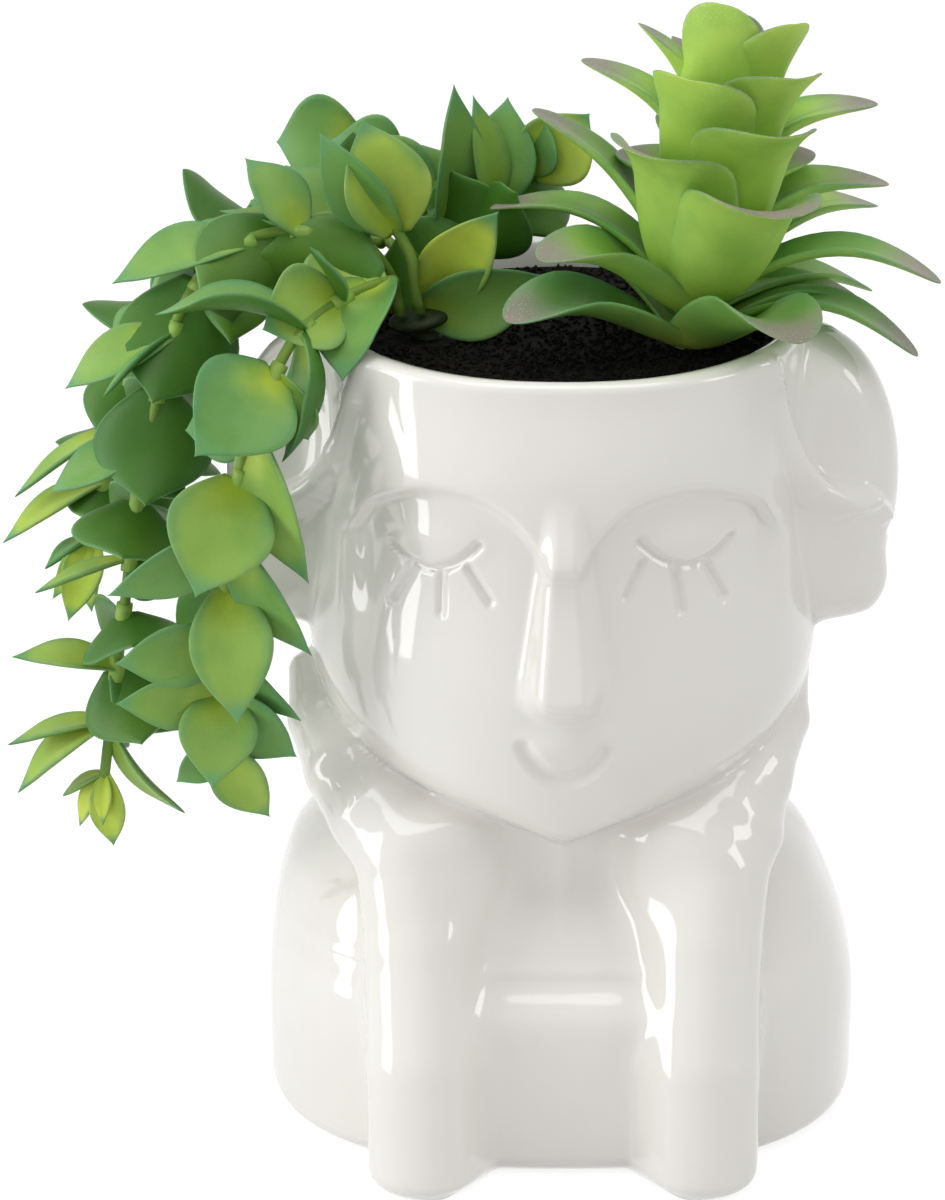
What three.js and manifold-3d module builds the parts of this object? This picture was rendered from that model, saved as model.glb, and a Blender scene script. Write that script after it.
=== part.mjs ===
// Face planter: a glazed slip-cast head that rests its chin in its hands, planted with an
// upright rosette succulent and a trailing succulent, both artificial. Millimetres, +Z up.
// The origin is the centre of the flat foot and the face looks along -Y.
import * as THREE from 'three';
import { mergeVertices } from 'three/addons/utils/BufferGeometryUtils.js';
import Module from 'manifold-3d';

const wasm = await Module();
wasm.setup();

// Ceramic body: heights above the flat foot
const POT_HEIGHT = 162;
const BROW_Z = 141;
const EYE_Z = 127;
const CHEEK_Z = 98;
const NOSE_BASE_Z = 96.5;
const MOUTH_Z = 84;
const CHIN_Z = 65;
const SHOULDER_Z = 57;
const CHEST_RIDGE_Z = 38;

// Ceramic body: widths and depths from the centre line
const HEAD_HALF_WIDTH = 50.5;
const HEAD_FRONT = 53;
const HEAD_BACK = 50;
const RIM_HALF_WIDTH = 48.5;
const RIM_FRONT = 49;
const TORSO_HALF_WIDTH = 58.5;
const TORSO_FRONT = 58;
const TORSO_BACK = 55;
const CHEST_FRONT = 44;
const FOOT_ROUNDING = 4;
const LIP_ROUNDING = 2;

// Ceramic body: wall and floor
const WALL = 5;
const RIM_WALL = 4;
const POT_FLOOR = 6;

// Arms and hands, each side of the centre line
const ELBOW_X = 27;
const ELBOW_Y = 61;
const FOREARM_RADIUS = 11.5;
const WRIST_X = 29;
const WRIST_Y = 46;
const WRIST_RADIUS = 10.5;
const PALM_RADIUS = 9;
const FINGER_RADIUS = 4.6;
const FINGERTIP_Z = 88;
const RIGHT_HAND_TUCK = 5.5;
const RIGHT_SHOULDER_TUCK = 5;

// Ears
const EAR_REACH = 66.6;
const EAR_Z = 130;
const EAR_HALF_HEIGHT = 31;

// Face relief
const NOSE_PROJECTION = 7;
const NOSE_HALF_WIDTH = 9;
const SOCKET_DEPTH = 1.8;
const EYE_X = 25;
const EYE_HALF_WIDTH = 9;
const MOUTH_HALF_WIDTH = 9;
const GROOVE_RADIUS = 1.1;

// Planting: foam, grit and clearances between separate pieces
const FIT_CLEARANCE = 0.35;
const FOAM_HEIGHT = 62;
const SOIL_THICKNESS = 5;
const SOIL_BELOW_RIM = 6;
const STEM_BURIED = 32;

// Rosette succulent
const ROSETTE_X = 25;
const ROSETTE_Y = -6;
const ROSETTE_LEAN_DEG = 7.5;
const ROSETTE_STEM_RADIUS = 2.2;
const ROSETTE_STEM_HEIGHT = 51.5;
const COLLAR_WALL = 1.2;
const COLLAR_HEIGHT = 3.6;
const ROSETTE_LEAF_THICKNESS = 2.2;

// Trailing succulent
const TRAIL_X = -27;
const TRAIL_Y = 0;
const TRAIL_LEAN_DEG = 14;
const TRAIL_STAKE_RADIUS = 2.6;
const TRAIL_CROWN_RADIUS = 7.5;
const TRAIL_CROWN_HEIGHT = 4;
const BRANCH_RADIUS = 1;
const BRANCH_INSET = 2.2;
const BRANCH_RISE = 6;
const INTERNODE = 11.5;
const SLEEVE_WALL = 0.9;
const SLEEVE_END = 2.2;
const TRAIL_LEAF_THICKNESS = 1.7;
const TRAIL_LEAF_LENGTH = 27;
const TRAIL_LEAF_WIDTH = 21;

const FRONT = -Math.PI / 2;
const TURN = Math.PI * 2;

const clamp01 = (value) => Math.min(1, Math.max(0, value));

const ease = (low, high, value) => {
  const t = clamp01((value - low) / (high - low));
  return t * t * (3 - 2 * t);
};

const softMin = (a, b, blend) => {
  const h = clamp01(0.5 + (b - a) / (2 * blend));
  return b + (a - b) * h - blend * h * (1 - h);
};

const softMax = (a, b, blend) => -softMin(-a, -b, blend);

// A smooth curve through [position, value] points, held level past both ends.
function curveThrough(points) {
  const slopes = points.map((point, i) => {
    const before = points[Math.max(i - 1, 0)];
    const after = points[Math.min(i + 1, points.length - 1)];
    const ends = i === 0 || i === points.length - 1;
    return ends ? 0 : (after[1] - before[1]) / (after[0] - before[0]);
  });
  return (at) => {
    if (at <= points[0][0]) return points[0][1];
    if (at >= points[points.length - 1][0]) return points[points.length - 1][1];
    const i = points.findIndex((point) => point[0] > at) - 1;
    const [x0, y0] = points[i];
    const [x1, y1] = points[i + 1];
    const span = x1 - x0;
    const t = (at - x0) / span;
    const a = y0 * (1 + 2 * t) + slopes[i] * span * t;
    const b = y1 * (3 - 2 * t) - slopes[i + 1] * span * (1 - t);
    return a * (1 - t) * (1 - t) + b * t * t;
  };
}

// Solids and meshes
const asGeometry = (positions, indices) => {
  const geometry = new THREE.BufferGeometry();
  geometry.setAttribute('position', new THREE.Float32BufferAttribute(positions, 3));
  geometry.setIndex(indices);
  return geometry;
};

function toSolid(source) {
  const bare = source.clone();
  bare.deleteAttribute('normal');
  bare.deleteAttribute('uv');
  const merged = mergeVertices(bare, 1e-4);
  return new wasm.Manifold(new wasm.Mesh({
    numProp: 3,
    vertProperties: new Float32Array(merged.attributes.position.array),
    triVerts: new Uint32Array(merged.index.array),
  }));
}

function toGeometry(solid) {
  const mesh = solid.getMesh();
  return asGeometry(Array.from(mesh.vertProperties), Array.from(mesh.triVerts));
}

// A closed skin over a row of rings. A ring of one point closes an end, and an end ring of
// more points is closed by a fan.
function loft(rings) {
  const positions = [];
  const indices = [];
  const starts = [];
  for (const ring of rings) {
    starts.push(positions.length / 3);
    for (const point of ring) positions.push(point.x, point.y, point.z);
  }
  for (let i = 0; i + 1 < rings.length; i += 1) {
    const low = rings[i].length;
    const high = rings[i + 1].length;
    const count = Math.max(low, high);
    for (let j = 0; j < count; j += 1) {
      const a = starts[i] + (j % low);
      const b = starts[i] + ((j + 1) % low);
      const c = starts[i + 1] + (j % high);
      const d = starts[i + 1] + ((j + 1) % high);
      if (low > 1) indices.push(a, b, c);
      if (high > 1) indices.push(b, d, c);
    }
  }
  const closeEnd = (ringIndex, flip) => {
    const count = rings[ringIndex].length;
    const start = starts[ringIndex];
    for (let j = 1; j + 1 < count; j += 1) {
      indices.push(start, start + (flip ? j + 1 : j), start + (flip ? j : j + 1));
    }
  };
  closeEnd(0, true);
  closeEnd(rings.length - 1, false);
  return asGeometry(positions, indices);
}

// Forms of the ceramic: each returns how far a point lies outside it, negative inside.
// The point has x folded to the right side, because both sides are alike.
function ovalSection(x, y, halfWidth, front, back, power) {
  const depth = y < 0 ? front : back;
  const norm = (Math.abs(x / halfWidth) ** power + Math.abs(y / depth) ** power) ** (1 / power);
  return (norm - 1) * Math.min(halfWidth, depth);
}

function ellipsoid(x, y, z, centre, radii) {
  const px = (x - centre[0]) / radii[0];
  const py = (y - centre[1]) / radii[1];
  const pz = (z - centre[2]) / radii[2];
  const k0 = Math.hypot(px, py, pz);
  const k1 = Math.hypot(px / radii[0], py / radii[1], pz / radii[2]);
  return k1 === 0 ? -Math.min(...radii) : (k0 * (k0 - 1)) / k1;
}

function taperedLimb(x, y, z, from, to) {
  const dx = to[0] - from[0];
  const dy = to[1] - from[1];
  const dz = to[2] - from[2];
  const along = (x - from[0]) * dx + (y - from[1]) * dy + (z - from[2]) * dz;
  const t = clamp01(along / (dx * dx + dy * dy + dz * dz));
  const radius = from[3] + (to[3] - from[3]) * t;
  return Math.hypot(x - from[0] - dx * t, y - from[1] - dy * t, z - from[2] - dz * t) - radius;
}

const headHalfWidth = curveThrough([
  [CHIN_Z - 3, 4], [CHIN_Z, 15], [CHIN_Z + 4, 32], [CHIN_Z + 9, 43], [CHIN_Z + 16, 48],
  [CHEEK_Z, HEAD_HALF_WIDTH], [BROW_Z, RIM_HALF_WIDTH], [POT_HEIGHT, RIM_HALF_WIDTH],
]);

const headFront = curveThrough([
  [CHIN_Z - 4, 30], [CHIN_Z, 42], [CHIN_Z + 5, 47], [CHIN_Z + 14, HEAD_FRONT - 2],
  [CHEEK_Z, HEAD_FRONT], [BROW_Z, HEAD_FRONT], [POT_HEIGHT, RIM_FRONT],
]);

const headBack = curveThrough([
  [CHIN_Z - 4, 30], [CHIN_Z + 4, 40], [CHIN_Z + 14, HEAD_BACK - 3],
  [CHEEK_Z, HEAD_BACK], [POT_HEIGHT, RIM_FRONT],
]);

const torsoHalfWidth = curveThrough([
  [0, TORSO_HALF_WIDTH], [CHEST_RIDGE_Z - 10, TORSO_HALF_WIDTH],
  [SHOULDER_Z - 9, TORSO_HALF_WIDTH - 4], [SHOULDER_Z - 2, TORSO_HALF_WIDTH - 11],
  [SHOULDER_Z + 3, TORSO_HALF_WIDTH - 22],
]);

const torsoFront = curveThrough([
  [0, TORSO_FRONT], [CHEST_RIDGE_Z - 4, TORSO_FRONT - 1], [CHEST_RIDGE_Z, TORSO_FRONT - 4],
  [CHEST_RIDGE_Z + 6, CHEST_FRONT + 3], [SHOULDER_Z, CHEST_FRONT - 2],
]);

const torsoBack = curveThrough([
  [0, TORSO_BACK], [CHEST_RIDGE_Z, TORSO_BACK], [SHOULDER_Z - 5, TORSO_BACK - 5],
  [SHOULDER_Z + 3, TORSO_BACK - 17],
]);

const headForm = (x, y, z) =>
  ovalSection(x, y, headHalfWidth(z), headFront(z), headBack(z), 2.25);

const torsoForm = (x, y, z) =>
  ovalSection(x, y, torsoHalfWidth(z), torsoFront(z), torsoBack(z), 2.5);

const ARM_POINTS = [
  [ELBOW_X, -ELBOW_Y, 0, FOREARM_RADIUS],
  [ELBOW_X + 0.5, -ELBOW_Y + 6, CHEST_RIDGE_Z - 8, FOREARM_RADIUS],
  [WRIST_X, -WRIST_Y, SHOULDER_Z, WRIST_RADIUS],
  [WRIST_X + 10, -WRIST_Y + 13, SHOULDER_Z + 9, PALM_RADIUS],
  [HEAD_HALF_WIDTH - 1.5, -WRIST_Y + 27, FINGERTIP_Z - 11, FINGER_RADIUS + 1.2],
  [HEAD_HALF_WIDTH - 0.5, -WRIST_Y + 37, FINGERTIP_Z, FINGER_RADIUS],
];

function armForm(x, y, z) {
  let nearest = taperedLimb(x, y, z, ARM_POINTS[0], ARM_POINTS[1]);
  for (let i = 1; i + 1 < ARM_POINTS.length; i += 1) {
    nearest = softMin(nearest, taperedLimb(x, y, z, ARM_POINTS[i], ARM_POINTS[i + 1]), 3);
  }
  return nearest;
}

// The inner side of each forearm runs back to the chest as a solid web.
const webForm = (x, y, z) => taperedLimb(
  x, y, z,
  [ELBOW_X - 4, -ELBOW_Y + 16, 0, FOREARM_RADIUS],
  [WRIST_X - 8.5, -WRIST_Y + 6, SHOULDER_Z + 6, WRIST_RADIUS],
);

const neckForm = (x, y, z) => ovalSection(x, y, CHEST_FRONT - 3, CHEST_FRONT, CHEST_FRONT - 4, 2);

function earForm(x, y, z) {
  const middle = HEAD_HALF_WIDTH - 2;
  const body = ellipsoid(x, y, z, [middle, -7, EAR_Z], [EAR_REACH - middle, 15, EAR_HALF_HEIGHT]);
  const shell = ellipsoid(x, y, z, [EAR_REACH - 7, -21, EAR_Z + 5], [7.5, 8, 17]);
  return softMax(body, -shell, 2);
}

// Raised and sunk forms of the face, as a height that pushes the surface outwards.
const browLine = curveThrough([
  [2, EYE_Z], [6, BROW_Z - 8], [12, BROW_Z - 2], [20, BROW_Z + 1], [30, BROW_Z],
  [38, BROW_Z - 7], [44, EYE_Z - 3],
]);

function faceRelief(x, z) {
  const underBrow = ease(0, 5, browLine(x) - z) * ease(CHEEK_Z + 4, EYE_Z - 6, z);
  const socket = SOCKET_DEPTH * underBrow * (1 - ease(40, 46, x));
  const noseFall = clamp01((EYE_Z + 4 - z) / (EYE_Z + 4 - NOSE_BASE_Z));
  const noseHalf = 3 + (NOSE_HALF_WIDTH - 3) * noseFall;
  const noseHeight = 2 + (NOSE_PROJECTION - 2) * noseFall;
  const noseEnds = ease(NOSE_BASE_Z - 3, NOSE_BASE_Z + 2, z) * (1 - ease(EYE_Z, BROW_Z - 4, z));
  const nose = noseHeight * noseEnds * (1 - ease(noseHalf - 2.5, noseHalf + 2.5, x));
  const lidX = (x - EYE_X) / (EYE_HALF_WIDTH + 3);
  const lidZ = (z - EYE_Z - 1) / 8;
  const lid = 1.3 * (1 - ease(0, 1, Math.hypot(lidX, lidZ)));
  return nose + lid - socket;
}

// The height of the rounding taken off the foot and the lip.
function edgeInset(z) {
  const cut = (radius, depth) => radius - Math.sqrt(Math.max(0, radius ** 2 - depth ** 2));
  const foot = cut(FOOT_ROUNDING, Math.max(0, FOOT_ROUNDING - z));
  const lip = cut(LIP_ROUNDING, Math.max(0, z - POT_HEIGHT + LIP_ROUNDING));
  return foot + lip;
}

// The casting is a little narrower on its right hand and shoulder than on its left.
function ceramicForm(x, y, z) {
  const side = Math.abs(x);
  const isRight = x > 0 ? 1 : 0;
  const handSide = side + isRight * RIGHT_HAND_TUCK * ease(SHOULDER_Z, CHIN_Z + 8, z);
  const bodySide = side + isRight * RIGHT_SHOULDER_TUCK * ease(CHEST_RIDGE_Z - 18, SHOULDER_Z, z);
  const head = softMin(headForm(side, y, z), earForm(side, y, z), 3);
  const body = softMin(torsoForm(bodySide, y, z), neckForm(side, y, z), 3);
  const limbs = softMin(armForm(handSide, y, z), webForm(side, y, z), 3);
  const relief = y < 0 ? faceRelief(side, z) * ease(20, 34, -y) : 0;
  const joined = softMin(softMin(head, body, 3) - relief, limbs, 2.5);
  return joined + edgeInset(z);
}

const OUTER_REACH = 90;

function outerRadius(angle, z) {
  const dx = Math.cos(angle);
  const dy = Math.sin(angle);
  let outside = OUTER_REACH;
  let inside = outside;
  while (inside > 5 && ceramicForm(inside * dx, inside * dy, z) > 0) {
    outside = inside;
    inside -= 1;
  }
  for (let i = 0; i < 14; i += 1) {
    const middle = (outside + inside) / 2;
    if (ceramicForm(middle * dx, middle * dy, z) > 0) outside = middle;
    else inside = middle;
  }
  return inside;
}

// Columns lie closest over the face and the ears, and the left side mirrors the right.
function columnAngles() {
  const bands = [[0, 52, 12], [52, 106, 10], [106, 180, 7]];
  const half = bands.flatMap(([from, to, count]) =>
    Array.from({ length: count }, (_, i) => from + ((to - from) * i) / count));
  const degrees = [...half, 180, ...half.slice(1).reverse().map((value) => -value)];
  return degrees.map((value) => FRONT + THREE.MathUtils.degToRad(value));
}

function rowHeights() {
  const bands = [
    [0, FOOT_ROUNDING, 2], [FOOT_ROUNDING, CHEST_RIDGE_Z - 4, 3],
    [CHEST_RIDGE_Z - 4, CHEST_RIDGE_Z + 6, 3], [CHEST_RIDGE_Z + 6, SHOULDER_Z, 3],
    [SHOULDER_Z, CHIN_Z, 3], [CHIN_Z, MOUTH_Z - 6, 4], [MOUTH_Z - 6, NOSE_BASE_Z, 3],
    [NOSE_BASE_Z, NOSE_BASE_Z + 4, 2], [NOSE_BASE_Z + 4, EYE_Z, 4], [EYE_Z, BROW_Z + 3, 4],
    [BROW_Z + 3, POT_HEIGHT - LIP_ROUNDING, 3], [POT_HEIGHT - LIP_ROUNDING, POT_HEIGHT, 2],
  ];
  const heights = bands.flatMap(([from, to, count]) =>
    Array.from({ length: count }, (_, i) => from + ((to - from) * i) / count));
  return [...heights, POT_HEIGHT];
}

const columns = columnAngles();
const rows = rowHeights();
const outerRings = rows.map((z) => columns.map((angle) => {
  const radius = outerRadius(angle, z);
  return new THREE.Vector3(radius * Math.cos(angle), radius * Math.sin(angle), z);
}));
const footCentre = [new THREE.Vector3(0, 0, 0)];
const topCentre = [new THREE.Vector3(0, 0, POT_HEIGHT)];
const outerSkin = [footCentre, ...outerRings, topCentre];

// The hollow follows the thinnest reach of the outside near each height, less the wall. It is
// nowhere wider than the mouth, so that the planting lifts straight out.
const MOUTH_RADIUS = RIM_HALF_WIDTH - RIM_WALL;
const thinnest = outerRings.map((ring, i) =>
  edgeInset(rows[i]) + Math.min(...ring.map((point) => Math.hypot(point.x, point.y))));

function hollowRadius(z) {
  const near = rows.map((row, i) => (Math.abs(row - z) < WALL + 2 ? thinnest[i] : Infinity));
  const wall = WALL + (RIM_WALL - WALL) * ease(BROW_Z - 10, BROW_Z + 6, z);
  return Math.min(MOUTH_RADIUS, Math.min(...near) - wall);
}

const HOLLOW_SIDES = 26;
const FOAM_TOP = POT_HEIGHT - SOIL_BELOW_RIM - SOIL_THICKNESS;
const FOAM_BOTTOM = FOAM_TOP - FOAM_HEIGHT;
const LIP_TOP_FLARE = 1.4;

const hollowHeights = [
  POT_FLOOR, POT_FLOOR + 6, CHEST_RIDGE_Z - 8, CHEST_RIDGE_Z + 6, SHOULDER_Z, CHIN_Z + 3,
  MOUTH_Z - 6, MOUTH_Z + 2, NOSE_BASE_Z, EYE_Z, BROW_Z, POT_HEIGHT - LIP_ROUNDING,
];
const hollowProfile = hollowHeights.map((z, i) =>
  new THREE.Vector2(hollowRadius(z) - (i === 0 ? 5 : 0), z));

function hollowGeometry() {
  const profile = [
    new THREE.Vector2(0, POT_FLOOR), ...hollowProfile,
    new THREE.Vector2(MOUTH_RADIUS + LIP_TOP_FLARE, POT_HEIGHT),
    new THREE.Vector2(MOUTH_RADIUS + LIP_TOP_FLARE, POT_HEIGHT + 4),
    new THREE.Vector2(0, POT_HEIGHT + 4),
  ];
  return new THREE.LatheGeometry(profile, HOLLOW_SIDES).rotateX(Math.PI / 2);
}

// A point on the face at a given x and z, found from straight in front.
function facePoint(x, z) {
  let outside = -OUTER_REACH;
  let inside = outside;
  while (inside < 0 && ceramicForm(x, inside, z) > 0) {
    outside = inside;
    inside += 1;
  }
  for (let i = 0; i < 12; i += 1) {
    const middle = (outside + inside) / 2;
    if (ceramicForm(x, middle, z) > 0) outside = middle;
    else inside = middle;
  }
  return new THREE.Vector3(x, inside, z);
}

function grooveGeometry(points, radius) {
  const path = new THREE.CatmullRomCurve3(points.map(([x, z]) => facePoint(x, z)));
  const outline = new THREE.Shape();
  outline.absarc(0, 0, radius, 0, TURN);
  return new THREE.ExtrudeGeometry(outline, {
    steps: Math.max(2, points.length), curveSegments: 5, bevelEnabled: false, extrudePath: path,
  });
}

// Closed eyes with three lashes each, and the smile, engraved in the clay.
function faceGrooves() {
  const grooves = [];
  for (const side of [-1, 1]) {
    const at = (dx, dz) => [side * (EYE_X + dx), EYE_Z + dz];
    const reach = EYE_HALF_WIDTH;
    const closedLid = [at(-reach, 3), at(-4, -1.5), at(4, -1.5), at(reach, 3)];
    const lashes = [[at(-5, -3), at(-8, -10)], [at(0, -4), at(0.5, -13)], [at(5, -3), at(8.5, -10)]];
    for (const line of [closedLid, ...lashes]) grooves.push(grooveGeometry(line, GROOVE_RADIUS));
  }
  const smile = [[-MOUTH_HALF_WIDTH, 4], [-5, -1], [0, -2.5], [5, -1], [MOUTH_HALF_WIDTH, 4]];
  grooves.push(grooveGeometry(smile.map(([x, dz]) => [x, MOUTH_Z + dz]), GROOVE_RADIUS * 1.25));
  return grooves;
}

function potSolid() {
  let solid = toSolid(loft(outerSkin)).subtract(toSolid(hollowGeometry()));
  for (const groove of faceGrooves()) solid = solid.subtract(toSolid(groove));
  return solid;
}

// Foam plug and grit, each turned to the hollow less the fit clearance
function hollowRadiusAt(z) {
  const above = hollowProfile.findIndex((point) => point.y >= z);
  const low = hollowProfile[above - 1];
  const high = hollowProfile[above];
  return low.x + ((high.x - low.x) * (z - low.y)) / (high.y - low.y);
}

function plugGeometry(bottom, top) {
  const heights = [bottom, ...hollowHeights.filter((z) => z > bottom + 1 && z < top - 1), top];
  const widest = (z) => Math.min(...heights.filter((other) => other >= z).map(hollowRadiusAt));
  const profile = [
    new THREE.Vector2(0, bottom),
    ...heights.map((z) => new THREE.Vector2(widest(z) - FIT_CLEARANCE, z)),
    new THREE.Vector2(0, top),
  ];
  return new THREE.LatheGeometry(profile, HOLLOW_SIDES).rotateX(Math.PI / 2);
}

const SOIL_TOP = POT_HEIGHT - SOIL_BELOW_RIM;

// Plants: a stem is a row of even steps along a smooth route. Each step has its own frame:
// the way on, the side that faces the viewer, and the side across.
function frameAt(place, tangent) {
  const front = new THREE.Vector3(0, -1, 0);
  front.addScaledVector(tangent, -front.dot(tangent)).normalize();
  return { place, tangent, front, across: new THREE.Vector3().crossVectors(tangent, front) };
}

function stemFrames(points, step) {
  const route = new THREE.CatmullRomCurve3(points.map((point) => new THREE.Vector3(...point)));
  const count = Math.max(2, Math.round(route.getLength() / step));
  return Array.from({ length: count + 1 }, (_, i) =>
    frameAt(route.getPointAt(i / count), route.getTangentAt(i / count)));
}

const frameBetween = (a, b, t) =>
  frameAt(a.place.clone().lerp(b.place, t), b.place.clone().sub(a.place).normalize());

const STEM_SIDES = 6;

// A rod through a row of frames. Its sides are carried along from the first frame, so that the
// rod doesn't twist.
function rod(frames, radius) {
  let side = frames[0].front;
  return loft(frames.map(({ place, tangent }) => {
    side = side.clone().addScaledVector(tangent, -side.dot(tangent)).normalize();
    const across = new THREE.Vector3().crossVectors(tangent, side);
    return Array.from({ length: STEM_SIDES }, (_, i) => {
      const turn = (TURN * i) / STEM_SIDES;
      return place.clone()
        .addScaledVector(side, radius * Math.cos(turn))
        .addScaledVector(across, radius * Math.sin(turn));
    });
  }));
}

// A bore keeps the fit clearance at its flats, and a leaf is rooted in the middle of the wall.
const boreAround = (radius) => (radius + FIT_CLEARANCE) / Math.cos(Math.PI / STEM_SIDES);
const wallMiddle = (radius, wall) => radius + FIT_CLEARANCE + wall / 2;

// A leaf grows from root along out, with its upper face turned to up. Its half width follows
// a pointed egg shape, its edges rise into a cup and its tip bends by curl.
const POINTED_OVAL = [[0.2, 0.78], [0.5, 1], [0.8, 0.62]];
const CLASPING_SPOON = [[0.1, 0.55], [0.5, 0.95], [0.84, 0.92]];

function leafGeometry(root, out, up, leaf) {
  const along = out.clone().normalize();
  const lift = up.clone().addScaledVector(along, -up.dot(along)).normalize();
  const across = new THREE.Vector3().crossVectors(lift, along);
  const at = (t, side, height) => root.clone()
    .addScaledVector(along, leaf.length * t)
    .addScaledVector(across, side)
    .addScaledVector(lift, height + leaf.curl * t * t);
  const rings = leaf.outline.map(([t, share]) => {
    const half = (leaf.width / 2) * share;
    const thick = leaf.thickness / 2;
    const rise = leaf.cup * share * share;
    return [at(t, -half, rise), at(t, 0, -thick), at(t, half, rise), at(t, 0, thick)];
  });
  return loft([[at(leaf.from, 0, 0)], ...rings, [at(1, 0, 0)]]);
}

// A leaf finds room among the solids that stand already: it turns, closes up or shortens a
// little until its clearance is free, as pushed leaves do.
const standing = [];

const stand = (solid) => {
  standing.push({ solid, box: solid.boundingBox() });
  return solid;
};

const boxesMeet = (a, b) => [0, 1, 2].every((k) => a.min[k] < b.max[k] && b.min[k] < a.max[k]);

function hasRoom(solid) {
  const box = solid.boundingBox();
  return standing.every((other) =>
    !boxesMeet(box, other.box) || solid.intersect(other.solid).volume() < 1e-6);
}

// The widest reach of the ceramic at or above each row, which a leaf beside it stays outside of
// so that the planting lifts straight out.
const reachAbove = outerRings.map((_, i) => columns.map((__, j) =>
  Math.max(...outerRings.slice(i).map((ring) => Math.hypot(ring[j].x, ring[j].y)))));

function clearsCeramic(geometry) {
  const at = geometry.attributes.position;
  for (let i = 0; i < at.count; i += 1) {
    const z = at.getZ(i);
    const radius = Math.hypot(at.getX(i), at.getY(i));
    const inMouth = z > SOIL_TOP + FIT_CLEARANCE && radius < MOUTH_RADIUS - FIT_CLEARANCE;
    if (z < POT_HEIGHT + FIT_CLEARANCE && !inMouth) {
      const angle = Math.atan2(at.getY(i), at.getX(i));
      const row = Math.max(0, rows.findIndex((height) => height > z) - 1);
      const offset = (a) => Math.abs(Math.atan2(Math.sin(angle - a), Math.cos(angle - a)));
      const near = columns.map((a, j) => (offset(a) < 0.16 ? reachAbove[row][j] : 0));
      if (radius < Math.max(...near) + 2 * FIT_CLEARANCE) return false;
    }
  }
  return true;
}

const ROOM_SIZES = [1, 0.88, 0.76, 0.64, 0.5];
const ROOM_TURNS = [0, 12, -12, 24, -24, 38, -38];
const ROOM_PITCHES = [0, -14, 14, -26];

const ROOT_LEEWAY = 1.2;

function growLeaf(frame, rollDeg, pitchDeg, stemRadius, wall, leaf) {
  const reach = wallMiddle(stemRadius, wall);
  const rootDepth = boreAround(stemRadius) + wall + FIT_CLEARANCE - reach;
  for (const size of ROOM_SIZES) {
    for (const turn of ROOM_TURNS) {
      for (const tilt of ROOM_PITCHES) {
        const roll = THREE.MathUtils.degToRad(rollDeg + turn);
        const pitch = THREE.MathUtils.degToRad(pitchDeg + tilt);
        const radial = frame.front.clone().multiplyScalar(Math.cos(roll))
          .addScaledVector(frame.across, Math.sin(roll));
        const out = radial.clone().multiplyScalar(Math.cos(pitch))
          .addScaledVector(frame.tangent, Math.sin(pitch));
        const up = radial.clone().multiplyScalar(-Math.sin(pitch))
          .addScaledVector(frame.tangent, Math.cos(pitch));
        const root = frame.place.clone().addScaledVector(radial, reach);
        const width = leaf.width * (0.4 + 0.6 * size);
        const sized = { ...leaf, length: leaf.length * size, width };
        const padded = leafGeometry(root, out, up, {
          ...sized,
          length: sized.length + FIT_CLEARANCE,
          width: sized.width + 3 * FIT_CLEARANCE,
          thickness: leaf.thickness + 2 * FIT_CLEARANCE,
          from: ROOT_LEEWAY * rootDepth / (sized.length * Math.cos(pitch)),
        });
        if (clearsCeramic(padded) && hasRoom(toSolid(padded))) {
          return toSolid(leafGeometry(root, out, up, { ...sized, from: 0 }));
        }
      }
    }
  }
  return null;
}

// Rosette: whorls of moulded leaves threaded on a leaning stem. Each whorl has its height on
// the stem, its leaf size, and for each leaf its bearing from the front (right is positive)
// and its pitch above the horizontal.
const rosetteLean = THREE.MathUtils.degToRad(ROSETTE_LEAN_DEG);
const rosetteAxis = new THREE.Vector3(Math.sin(rosetteLean), 0, Math.cos(rosetteLean));
const rosetteFrame = (height) => frameAt(
  new THREE.Vector3(ROSETTE_X, ROSETTE_Y, SOIL_TOP).addScaledVector(rosetteAxis, height),
  rosetteAxis.clone(),
);

const ROSETTE_WHORLS = [
  { height: 4, length: 40, width: 18, cup: 3, curl: 3,
    leaves: [[-60, 16], [50, 20], [98, 14], [165, 18], [-135, 20]] },
  { height: 10.5, length: 42, width: 17, cup: 3, curl: -2,
    leaves: [[-86, 26], [-14, 26], [90, 24], [132, 26], [-165, 28]] },
  { height: 17, length: 36, width: 21, cup: 3, curl: 0,
    leaves: [[-98, 40], [36, 38], [86, 34], [150, 40], [-150, 40], [-30, 40]] },
  { height: 23.5, length: 32, width: 22, cup: 4, curl: 0,
    leaves: [[-42, 48], [98, 44], [-120, 46], [170, 48], [22, 48]] },
  { height: 30, length: 28, width: 21, cup: 4, curl: 0,
    leaves: [[42, 50], [-88, 48], [130, 50], [-150, 52], [-20, 50]] },
  { height: 36.5, length: 25, width: 19, cup: 3, curl: 0,
    leaves: [[-46, 53], [66, 52], [175, 54], [-115, 53], [10, 54]] },
  { height: 43.5, length: 21, width: 13, cup: 2, curl: 1,
    leaves: [[-15, 62], [-85, 60], [95, 60], [-160, 62]] },
  { height: 50.5, length: 19, width: 12, cup: 2, curl: 1,
    leaves: [[-20, 70], [95, 68], [-140, 70]] },
];

const ringSolid = (frame, inner, outer, height) => {
  const ends = [-height / 2, height / 2];
  const shifted = (at) => {
    const place = frame.place.clone().addScaledVector(frame.tangent, at);
    return { ...frame, place };
  };
  const body = toSolid(rod(ends.map(shifted), outer));
  return body.subtract(toSolid(rod(ends.map((at) => shifted(at * 2)), inner)));
};

const planter = new THREE.Group();

function addPiece(name, geometry, material) {
  const mesh = new THREE.Mesh(geometry, material);
  mesh.name = name;
  planter.add(mesh);
  return mesh;
}

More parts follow.
